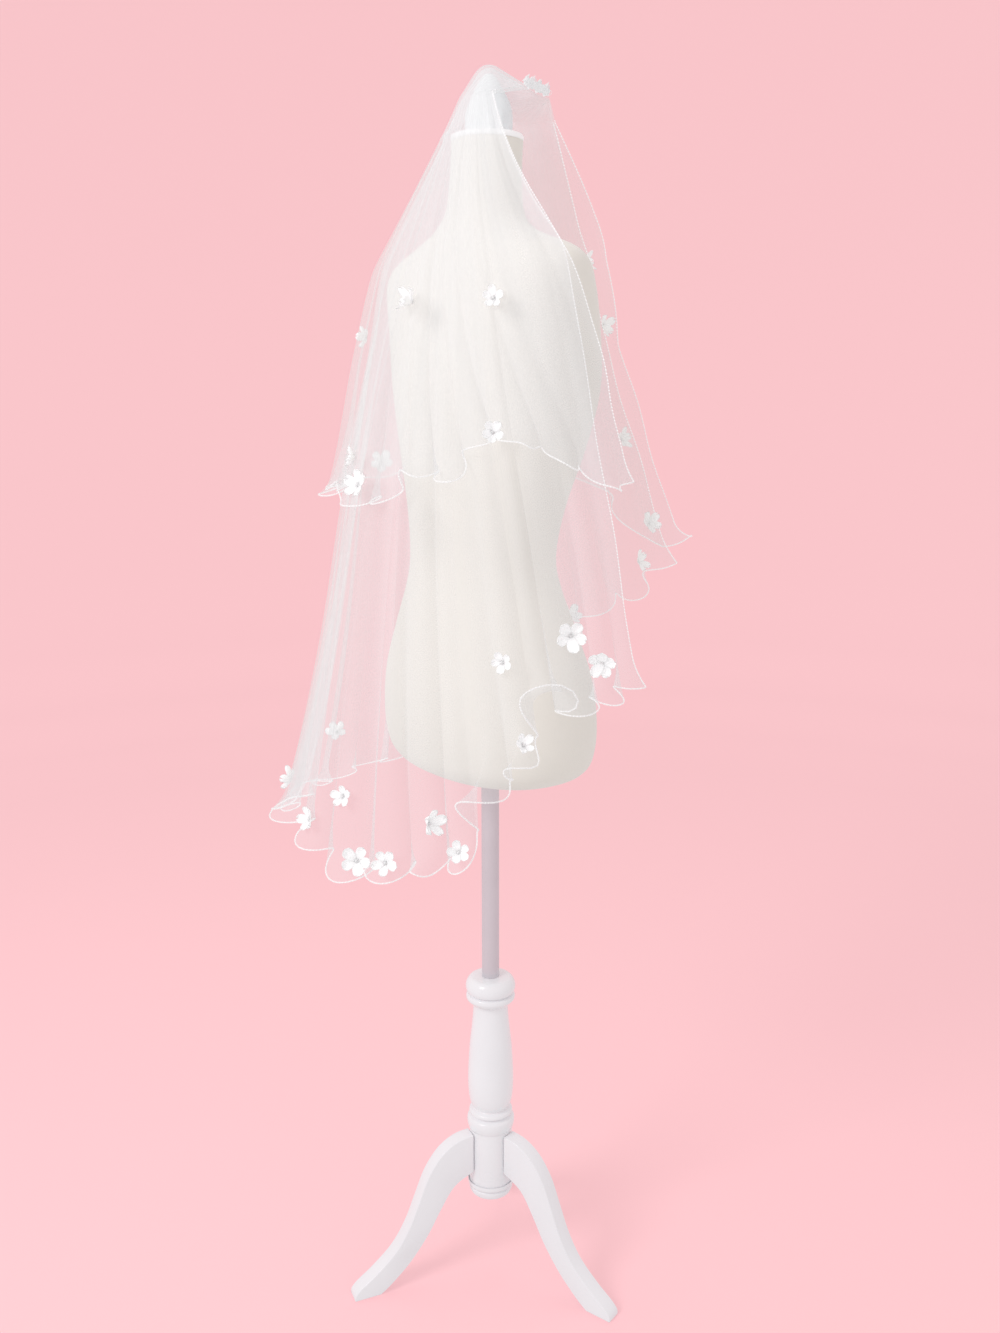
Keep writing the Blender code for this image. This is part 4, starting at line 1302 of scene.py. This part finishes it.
def even_path(path, pitch):
    """The same line with its points an even distance apart."""
    steps = np.linalg.norm(np.diff(path, axis=0), axis=1)
    length = np.concatenate(([0.0], np.cumsum(steps)))
    places = np.linspace(0.0, length[-1], int(length[-1] / pitch) + 1)
    return np.stack([np.interp(places, length, path[:, axis]) for axis in range(3)], axis=1)


def build_cord(name, tier_name, node, sizes, finish):
    """The cord along a tier's free edge, thinning up both front edges to the heading."""
    path = even_path(hem_path(tier_name, sizes), CORD_PITCH)
    along = np.arange(len(path))
    radius = sizes.cord_radius * (1.0 + 0.12 * np.sin(along * 0.9) + 0.06 * np.sin(along * 0.31))
    points = tier_grid(tier_name, sizes)[2]
    front = points[int(CROWN_ROWS * BARE_CROWN):, 0]
    edge = np.linalg.norm(np.diff(front, axis=0), axis=1).sum()
    hem = edge + np.linalg.norm(np.diff(points[-1], axis=0), axis=1).sum()
    place = along * CORD_PITCH
    whole = ease(place, edge - CORD_FADE, edge) * (1.0 - ease(place, hem, hem + CORD_FADE))
    radius = radius * (CORD_THIN + (1.0 - CORD_THIN) * whole)
    return new_object(name, tube_mesh(name, path, radius, CORD_SIDES), finish, "satin", node)


def line_mesh(name, path):
    mesh = bpy.data.meshes.new(name)
    edges = [(step, step + 1) for step in range(len(path) - 1)]
    mesh.from_pydata(path.tolist(), edges, [])
    return mesh


def build_stitches(name, path, radius, pitch, maker, finish):
    made = link_object(name, line_mesh(name, path))
    maker.run(made, {
        "Stitch pitch": pitch, "Stitch radius": radius, "Thread width": THREAD_WIDTH,
        "Finish": finish})
    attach(made, "root")
    return made


def cloth_frame(name, fold_place, level_place, sizes):
    """The middle, and the outward and downward directions, at a place on a tier."""
    fold, level, points = tier_grid(name, sizes)
    near = int(round(fold_place / fold[-1] * (len(fold) - 1)))
    near = min(max(near, 3), len(fold) - 4)
    row = int(np.argmin(np.abs(level[:, near] - level_place)))
    row = min(max(row, 2), len(level) - 3)
    middle = points[row, near]
    side = points[row, near + 3] - points[row, near - 3]
    down = points[row + 2, near] - points[row - 2, near]
    out = np.cross(side, down)
    if out[0] * (middle[0] - AXIS_X) + out[1] * (middle[1] - AXIS_Y) < 0:
        out = -out
    return Vector(middle), Vector(out).normalized(), Vector(down).normalized()


def petal_points(reach, closed, twist):
    """One petal lying along +X, cupped and closing towards +Z."""
    along = np.linspace(0.06, 1.0, PETAL_ROWS)[:, None]
    across = np.linspace(-1.0, 1.0, PETAL_COLUMNS)[None, :]
    half = 0.49 * reach * np.sqrt(np.clip(along, 0, 1)) * np.sqrt(np.clip(1.02 - along ** 5, 0, 1))
    rise = math.radians(18 + 55 * closed)
    bend = rise * (1.0 - 0.55 * along)
    out = reach * along * np.cos(bend)
    up = reach * along * np.sin(bend) + 0.26 * reach * across ** 2 * along
    up = up + reach * (0.10 + 0.20 * closed) * np.clip(along - 0.55, 0.0, 1.0) ** 2 / 0.2
    up = up + 0.05 * reach * np.sin(3.0 * across + 2.0 * twist) * along
    side = half * across * (1.0 - 0.10 * along * across ** 2)
    return np.stack(np.broadcast_arrays(out, side, up), axis=-1)


def build_flowers(name, tier_name, rows, nodes, sizes, finish):
    """Satin flowers of five cupped petals, joined in one mesh; returns the pearls' places."""
    vertices, faces, heart_shades, pearls = [], [], [], []
    for number, row in enumerate(rows):
        middle, out, down = cloth_frame(tier_name, row["fold"], row["level"], sizes)
        side = down.cross(out).normalized()
        down = out.cross(side)
        swing = math.radians(row["swing"])
        facing = (out * math.cos(swing) + side * math.sin(swing)).normalized()
        across = down.cross(facing).normalized()
        down = facing.cross(across)
        base = middle + out * FLOWER_LIFT
        reach = row["across"] / 2 * FLOWER_SPREAD
        for petal in range(PETAL_COUNT):
            uneven = math.sin(2.7 * number + 1.9 * petal)
            closed = row["closed"] * (1.0 + 0.50 * uneven)
            shape = petal_points(reach * (1.0 + 0.07 * uneven), closed, uneven)
            angle = math.radians(360 / PETAL_COUNT * petal + row["spin"] + 5 * uneven)
            cosine, sine = math.cos(angle), math.sin(angle)
            start = len(vertices)
            for along_row, points in enumerate(shape):
                for x, y, z in points:
                    flat_x, flat_y = x * cosine - y * sine, x * sine + y * cosine
                    vertices.append(base + across * flat_x + down * flat_y + facing * z)
                    # Painted shade for each petal, strongest at the flower's middle
                    heart_shades.append(max(0.0, 1.0 - along_row / (PETAL_ROWS * 0.45)))
            for quad in grid_faces(PETAL_ROWS, PETAL_COLUMNS):
                faces.append([start + corner for corner in quad])
        for pearl in range(sizes.pearls):
            angle = 2.4 * pearl + number
            far = sizes.bead_radius * (0.0 if pearl == 0 else 1.75)
            spot = across * (far * math.cos(angle)) + down * (far * math.sin(angle))
            lift = sizes.bead_radius * (2.3 if pearl == 0 else 1.5)
            pearls.append((base + spot + facing * lift, 1.25 if pearl == 0 else 0.85))
    mesh = bpy.data.meshes.new(name)
    mesh.from_pydata([tuple(point) for point in vertices], [], faces)
    heart_shade = mesh.attributes.new("heart_shade", "FLOAT", "POINT")
    heart_shade.data.foreach_set("value", heart_shades)
    made = link_object(name, mesh)
    mesh.materials.append(finish)
    wall = made.modifiers.new("petal wall", "SOLIDIFY")
    wall.thickness = PETAL_WALL
    wall.offset = 0.0
    applied(made).shade_smooth()
    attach(made, "root")
    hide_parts(*nodes)
    return pearls


def build_pearls(name, pearls, sizes, maker, finish):
    """The pearls of a tier's flowers, each at its place and size."""
    mesh = bpy.data.meshes.new(name)
    mesh.from_pydata([tuple(place) for place, size in pearls], [], [])
    scale = mesh.attributes.new("bead", "FLOAT", "POINT")
    scale.data.foreach_set("value", [size for place, size in pearls])
    made = link_object(name, mesh)
    maker.run(made, {"Bead radius": sizes.bead_radius, "Finish": finish})
    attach(made, "root")
    return made


def build_torso(finish):
    """The jersey-covered torso and neck, lofted smoothly through the same sections."""
    places = np.linspace(0, len(TORSO_SECTIONS) - 1, TORSO_ROWS)
    width = smooth_column(TORSO_SECTIONS, "width", places)[:, None]
    depth = smooth_column(TORSO_SECTIONS, "depth", places)[:, None]
    back = smooth_column(TORSO_SECTIONS, "back", places)[:, None]
    height = smooth_column(TORSO_SECTIONS, "height", places)[:, None]
    angle = whole_turn(TORSO_SIDES)
    power = 2.0 / TORSO_ROUNDNESS
    across = np.sign(np.cos(angle)) * np.abs(np.cos(angle)) ** power
    along = np.sign(np.sin(angle)) * np.abs(np.sin(angle)) ** power
    points = np.stack(np.broadcast_arrays(
        AXIS_X + width * across, AXIS_Y + back + depth * along, height), axis=-1)
    mesh = grid_mesh("form_cover", points, closed=True, caps=True)
    return new_object("form_cover", mesh, finish, "jersey", "dress_form")


def build_neck_band(finish):
    """The folded band round the top of the neck."""
    half = (NECK_TOP - NECK_BAND_BOTTOM) / 2
    round_edge = np.linspace(-np.pi / 2, np.pi / 2, 9)[:, None]
    radius = NECK_BAND_RADIUS + NECK_BAND_BULGE * np.cos(round_edge)
    height = (NECK_TOP + NECK_BAND_BOTTOM) / 2 + half * np.sin(round_edge)
    points = ring_points(radius, whole_turn(96), height, NECK_BAND_BACK)
    mesh = grid_mesh("neck_binding", points, closed=True, caps=True)
    return new_object("neck_binding", mesh, finish, "cover_cloth", "neck_band")


def knob_wave(angle, height, radius):
    """Wraps and drag lines of the cloth drawn over the knob and tied beneath it."""
    low = np.clip((1.5700 - height) / 0.025, 0.0, 1.0)
    wraps = 0.0009 * np.sin(2 * angle + 95 * height) + 0.0005 * np.sin(3 * angle - 150 * height)
    tied = 0.0009 * np.sin(17 * angle + 2 * np.sin(3 * angle)) * low
    return (wraps + tied - 0.0004) * np.clip(radius / 0.012, 0.0, 1.0)


def leg_mesh(name, bearing):
    """A curved foot cut from a board, with square edges; build_leg rounds them over."""
    outline = []
    for edge in (LEG_TOP_EDGE, LEG_UNDER_EDGE):
        last = len(edge) - 1
        steps = np.linspace(0, last, last * LEG_STEPS + 1)
        outline += zip(smooth_column(edge, "out", steps), smooth_column(edge, "height", steps))
    angle = math.radians(bearing)
    outward = np.array([math.sin(angle), -math.cos(angle), 0.0])
    across = np.array([math.cos(angle), math.sin(angle), 0.0])
    vertices = []
    for side in (-0.5, 0.5):
        for out, height in outline:
            vertices.append(np.array([AXIS_X, AXIS_Y, max(height, 0.0)]) + outward * out
                            + across * (side * LEG_THICKNESS))
    count = len(outline)
    faces = [list(range(count)), list(range(count, 2 * count))[::-1]]
    faces += [(step, (step + 1) % count, (step + 1) % count + count, step + count)
              for step in range(count)]
    mesh = bpy.data.meshes.new(name)
    mesh.from_pydata(vertices, [], faces)
    turn_outward(mesh)
    return mesh


def build_leg(number, bearing, finish):
    name = f"curved_leg_{number}"
    made = link_object(name, leg_mesh(name, bearing))
    made.data.materials.append(finish)
    bevel = made.modifiers.new("rounded edges", "BEVEL")
    bevel.width = LEG_ROUNDING
    bevel.segments = 3
    bevel.limit_method = "ANGLE"
    bevel.angle_limit = math.radians(50)
    mesh = applied(made)
    mesh.shade_smooth()
    mesh.set_sharp_from_angle(angle=math.radians(60))
    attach(made, "root")
    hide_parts(f"leg_{number}")
    return made


def heading_line(share):
    """The heading's middle line, and the level direction square to it."""
    middle = heading_point(share, np.full(len(share), HEADING_LEVEL))
    way = middle[-1] - middle[0]
    way /= np.linalg.norm(way)
    return middle, np.cross(way, UPWARD)


def build_heading(finish):
    """The ruched band: the tiers' gathered tops pressed into small uneven pleats."""
    share = np.linspace(0.0, 1.0, HEADING_STEPS)[:, None]
    around = whole_turn(HEADING_SIDES)
    middle, side = heading_line(share[:, 0])
    place = 13 * share + 0.55 * np.sin(9 * share) + 0.16 * np.sin(around + 5 * share)
    pleat = 0.86 + 0.24 * np.sin(2 * np.pi * place) + 0.12 * np.sin(2 * np.pi * 2.6 * place)
    pleat = pleat + 0.12 * np.sin(3 * around + 40 * share)
    pleat = pleat * np.sqrt(np.clip(1.0 - (2.0 * share - 1.0) ** 8, 0.02, 1.0))
    deep = 0.0034 * np.cos(around) * pleat
    tall = 0.0042 * np.sin(around) * pleat + 0.0010 * np.sin(2 * np.pi * 3.3 * share)
    points = middle[:, None] + side * deep[..., None]
    points = points + UPWARD * tall[..., None]
    mesh = grid_mesh("ruched_heading", points, closed=True, caps=True)
    return new_object("ruched_heading", mesh, finish, "tulle", "heading")


def build_frill(finish):
    """The tulle's folded top edge, which stands up crumpled above the gathering stitches."""
    share = np.linspace(-0.02, 1.02, FRILL_STEPS)[None, :]
    up = np.linspace(0.0, 1.0, FRILL_ROWS)[:, None]
    middle, side = heading_line(share[0])
    pleat = np.sin(2 * np.pi * (19 * share + 0.5 * np.sin(11 * share)))
    pleat = pleat + 0.6 * np.sin(2 * np.pi * (31 * share + 0.4 * np.sin(7 * share)))
    lean = 0.0018 * np.sin(2 * np.pi * (2.3 * share + 0.2))
    out = 0.0016 * pleat * (0.35 + up) + lean * up
    tall = (0.0075 + 0.0022 * np.sin(2 * np.pi * 3.7 * share) + 0.0012 * pleat) * up
    tall = tall * np.sqrt(np.clip(1.0 - (2.0 * share - 1.0) ** 6, 0.05, 1.0))
    points = middle[None, :] + side * out[..., None]
    points = points + UPWARD * tall[..., None]
    mesh = grid_mesh("heading_frill", points, flat=flat_places(points))
    cover = mesh.attributes.new("cover", "FLOAT", "POINT")
    cover.data.foreach_set("value", np.full(FRILL_ROWS * FRILL_STEPS, FRILL_COVER))
    made = new_object("heading_frill", mesh, finish, "tulle")
    made.visible_diffuse = False
    return made


# The operators, in the order they are run

class VEIL_OT_stage(bpy.types.Operator):
    """Sets a plain pale floor, soft studio light and the camera."""

    bl_idname = "veil.stage"
    bl_label = "Stage"

    def execute(self, context):
        build_stage(context.scene, context.scene.veil_colours)
        return {"FINISHED"}


class VEIL_OT_dress_form(bpy.types.Operator):
    """Builds the jersey torso, its neck binding and the wrapped knob."""

    bl_idname = "veil.dress_form"
    bl_label = "Dress form"

    def execute(self, context):
        colours = context.scene.veil_colours
        padding = padding_finish(colours)
        build_torso(jersey_finish(colours))
        build_neck_band(cord_finish(colours))
        knob = lathe("wrapped_knob", KNOB_PROFILE, 96, 9, knob_wave)
        new_object("wrapped_knob", knob, padding, "cover_cloth", "knob")
        return {"FINISHED"}


class VEIL_OT_stand(bpy.types.Operator):
    """Builds the pole, the turned column and the three curved legs."""

    bl_idname = "veil.stand"
    bl_label = "Stand"

    def execute(self, context):
        colours = context.scene.veil_colours
        paint = paint_finish(colours)
        turned = lathe("turned_column", COLUMN_PROFILE, 80, 5)
        new_object("turned_column", turned, paint, "white_paint", "column")
        height = np.linspace(POLE_HIGH.z, POLE_LOW.z, 8)[:, None]
        points = ring_points((POLE_HIGH.x - POLE_LOW.x) / 2, whole_turn(48), height)
        pole = grid_mesh("round_pole", points, closed=True, caps=True)
        new_object("round_pole", pole, pole_finish(colours), "pole_paint", "pole")
        for number, bearing in enumerate(LEG_BEARINGS, start=1):
            build_leg(number, bearing, paint)
        return {"FINISHED"}


class VEIL_OT_heading(bpy.types.Operator):
    """Builds the ruched heading, its frill and the stitches that hold it."""

    bl_idname = "veil.heading"
    bl_label = "Gathered heading"

    def execute(self, context):
        colours = context.scene.veil_colours
        build_heading(gathered_finish(colours))
        build_frill(tulle_finish(colours))
        share = np.linspace(-0.005, 1.005, 60)
        path = heading_point(share, np.full_like(share, HEADING_LEVEL))
        build_stitches("heading_stitches", path, HEADING_STITCH_RADIUS, HEADING_STITCH_PITCH,
                       stitch_tree(), thread_finish(colours))
        return {"FINISHED"}


class VEIL_OT_tiers(bpy.types.Operator):
    """Builds both tiers of tulle."""

    bl_idname = "veil.tiers"
    bl_label = "Tulle tiers"

    def execute(self, context):
        net = tulle_finish(context.scene.veil_colours)
        for side in SIDES:
            build_tier(side + "_tier", "tulle", context.scene.veil_sizes, net)
        return {"FINISHED"}


class VEIL_OT_hems(bpy.types.Operator):
    """Sews the fine cord round each tier's free edge."""

    bl_idname = "veil.hems"
    bl_label = "Corded hems"

    def execute(self, context):
        sizes = context.scene.veil_sizes
        cord = cord_finish(context.scene.veil_colours, HEM_COVER)
        thread = thread_finish(context.scene.veil_colours)
        stitches = stitch_tree()
        for side in SIDES:
            tier_name = side + "_tier"
            build_cord(side + "_corded_hem", tier_name, side + "_hem_cord", sizes, cord)
            path = even_path(hem_path(tier_name, sizes), STITCH_PATH_PITCH)
            build_stitches(side + "_hem_stitches", path, sizes.cord_radius * STITCH_OVER_CORD,
                           sizes.stitch_pitch, stitches, thread)
        return {"FINISHED"}


class VEIL_OT_flowers(bpy.types.Operator):
    """Makes the satin flowers with their pearls."""

    bl_idname = "veil.flowers"
    bl_label = "Satin flowers"

    def execute(self, context):
        sizes = context.scene.veil_sizes
        satin = satin_finish(context.scene.veil_colours)
        pearl = pearl_finish(context.scene.veil_colours)
        beads = bead_tree()
        for side, rows in (("lower", LOWER_FLOWERS), ("upper", UPPER_FLOWERS)):
            nodes = [f"{side}_flower_{number:02d}" for number in range(1, len(rows) + 1)]
            pearls = build_flowers(side + "_satin_flowers", side + "_tier", rows, nodes, sizes, satin)
            build_pearls(side + "_pearls", pearls, sizes, beads, pearl)
        return {"FINISHED"}


class VEIL_OT_drape(bpy.types.Operator):
    """Looks up each tier's sewn pieces and works out its flat cut, and does nothing more with them."""

    bl_idname = "veil.drape"
    bl_label = "Drape"

    def execute(self, context):
        for side, carriers in (("lower", ["knob", "dress_form"]), ("upper", ["soft_lower_tier"])):
            sewn = [bpy.data.objects[side + part] for part in (
                "_corded_hem", "_hem_stitches", "_satin_flowers", "_pearls")]
            if side == "upper":
                sewn.append(bpy.data.objects["heading_frill"])
            flat = flat_places(tier_grid(side + "_tier", context.scene.veil_sizes)[2])
        return {"FINISHED"}


def aim(made, place, way):
    """Puts a light or the camera at a place, looking this way."""
    made.location = place
    made.rotation_mode = "QUATERNION"
    made.rotation_quaternion = way.to_track_quat("-Z", "Y")


def add_light(name, place, size, power, target):
    light = bpy.data.lights.new(name, "AREA")
    light.shape = "DISK"
    light.size = size
    light.energy = power
    aim(link_object(name, light), place, target - place)


def build_stage(scene, colours):
    """A round pale cove, three soft lights and the camera."""
    axis = Vector((AXIS_X, AXIS_Y, 0.0))
    bearing = math.radians(CAMERA_BEARING)
    right = Vector((math.cos(bearing), math.sin(bearing), 0.0))
    toward = Vector((math.sin(bearing), -math.cos(bearing), 0.0))
    up = Vector((0.0, 0.0, 1.0))

    angle = whole_turn(128)
    points = ring_points(
        column(COVE, "radius")[:, None], angle, column(COVE, "height")[:, None])
    mesh = bpy.data.meshes.new("pale_floor")
    faces = grid_faces(len(COVE), angle.shape[1], True) + [list(range(angle.shape[1]))]
    mesh.from_pydata(points.reshape(-1, 3).tolist(), [], faces)
    mesh.shade_smooth()
    floor = link_object("pale_floor", mesh)
    mesh.materials.append(floor_finish(colours))
    floor.visible_diffuse = False
    floor.visible_shadow = False

    world = bpy.data.worlds.new("soft room")
    world.use_nodes = True
    sky = world.node_tree.nodes["Background"]
    sky.inputs["Color"].default_value = WORLD_COLOUR
    sky.inputs["Strength"].default_value = WORLD_STRENGTH
    scene.world = world
    for row in LIGHTS:
        place = axis + toward * row["toward"] + right * row["right"] + up * row["up"]
        add_light(row["name"], place, row["size"], row["power"], axis + up * LIGHT_TARGET)

    camera = bpy.data.cameras.new("camera")
    camera.sensor_fit = "VERTICAL"
    camera.sensor_height = 36.0
    camera.lens = CAMERA_LENS
    camera.clip_start = 0.05
    camera.clip_end = 50.0
    scene.camera = link_object("camera", camera)
    down = math.radians(CAMERA_DOWN)
    place = axis + toward * CAMERA_AWAY + right * CAMERA_ASIDE + up * CAMERA_HEIGHT
    aim(scene.camera, place, -toward * math.cos(down) - up * math.sin(down))
    scene.view_settings.view_transform = "Standard"
    scene.cycles.transparent_max_bounces = 48


class VEIL_PT_panel(bpy.types.Panel):
    """Lists the steps and the sizes and colours they use."""

    bl_idname = "VEIL_PT_panel"
    bl_label = "Bridal veil"
    bl_space_type = "VIEW_3D"
    bl_region_type = "UI"
    bl_category = "Veil"

    def draw(self, context):
        layout = self.layout
        for step in STEPS:
            layout.operator(step.bl_idname)
        for group in (context.scene.veil_sizes, context.scene.veil_colours):
            for name in group.__annotations__:
                layout.prop(group, name)


STEPS = (VEIL_OT_stage, VEIL_OT_dress_form, VEIL_OT_stand, VEIL_OT_heading, VEIL_OT_tiers,
         VEIL_OT_hems, VEIL_OT_flowers, VEIL_OT_drape)
CLASSES = (VeilSizes, VeilColours) + STEPS + (VEIL_PT_panel,)


def register():
    for kind in CLASSES:
        bpy.utils.register_class(kind)
    bpy.types.Scene.veil_sizes = PointerProperty(type=VeilSizes)
    bpy.types.Scene.veil_colours = PointerProperty(type=VeilColours)


def unregister():
    del bpy.types.Scene.veil_colours
    del bpy.types.Scene.veil_sizes
    for kind in reversed(CLASSES):
        bpy.utils.unregister_class(kind)


def main():
    register()
    bpy.ops.veil.stage()
    bpy.ops.veil.dress_form()
    bpy.ops.veil.stand()
    bpy.ops.veil.heading()
    bpy.ops.veil.tiers()
    bpy.ops.veil.hems()
    bpy.ops.veil.flowers()
    bpy.ops.veil.drape()


if __name__ == "__main__":
    main()
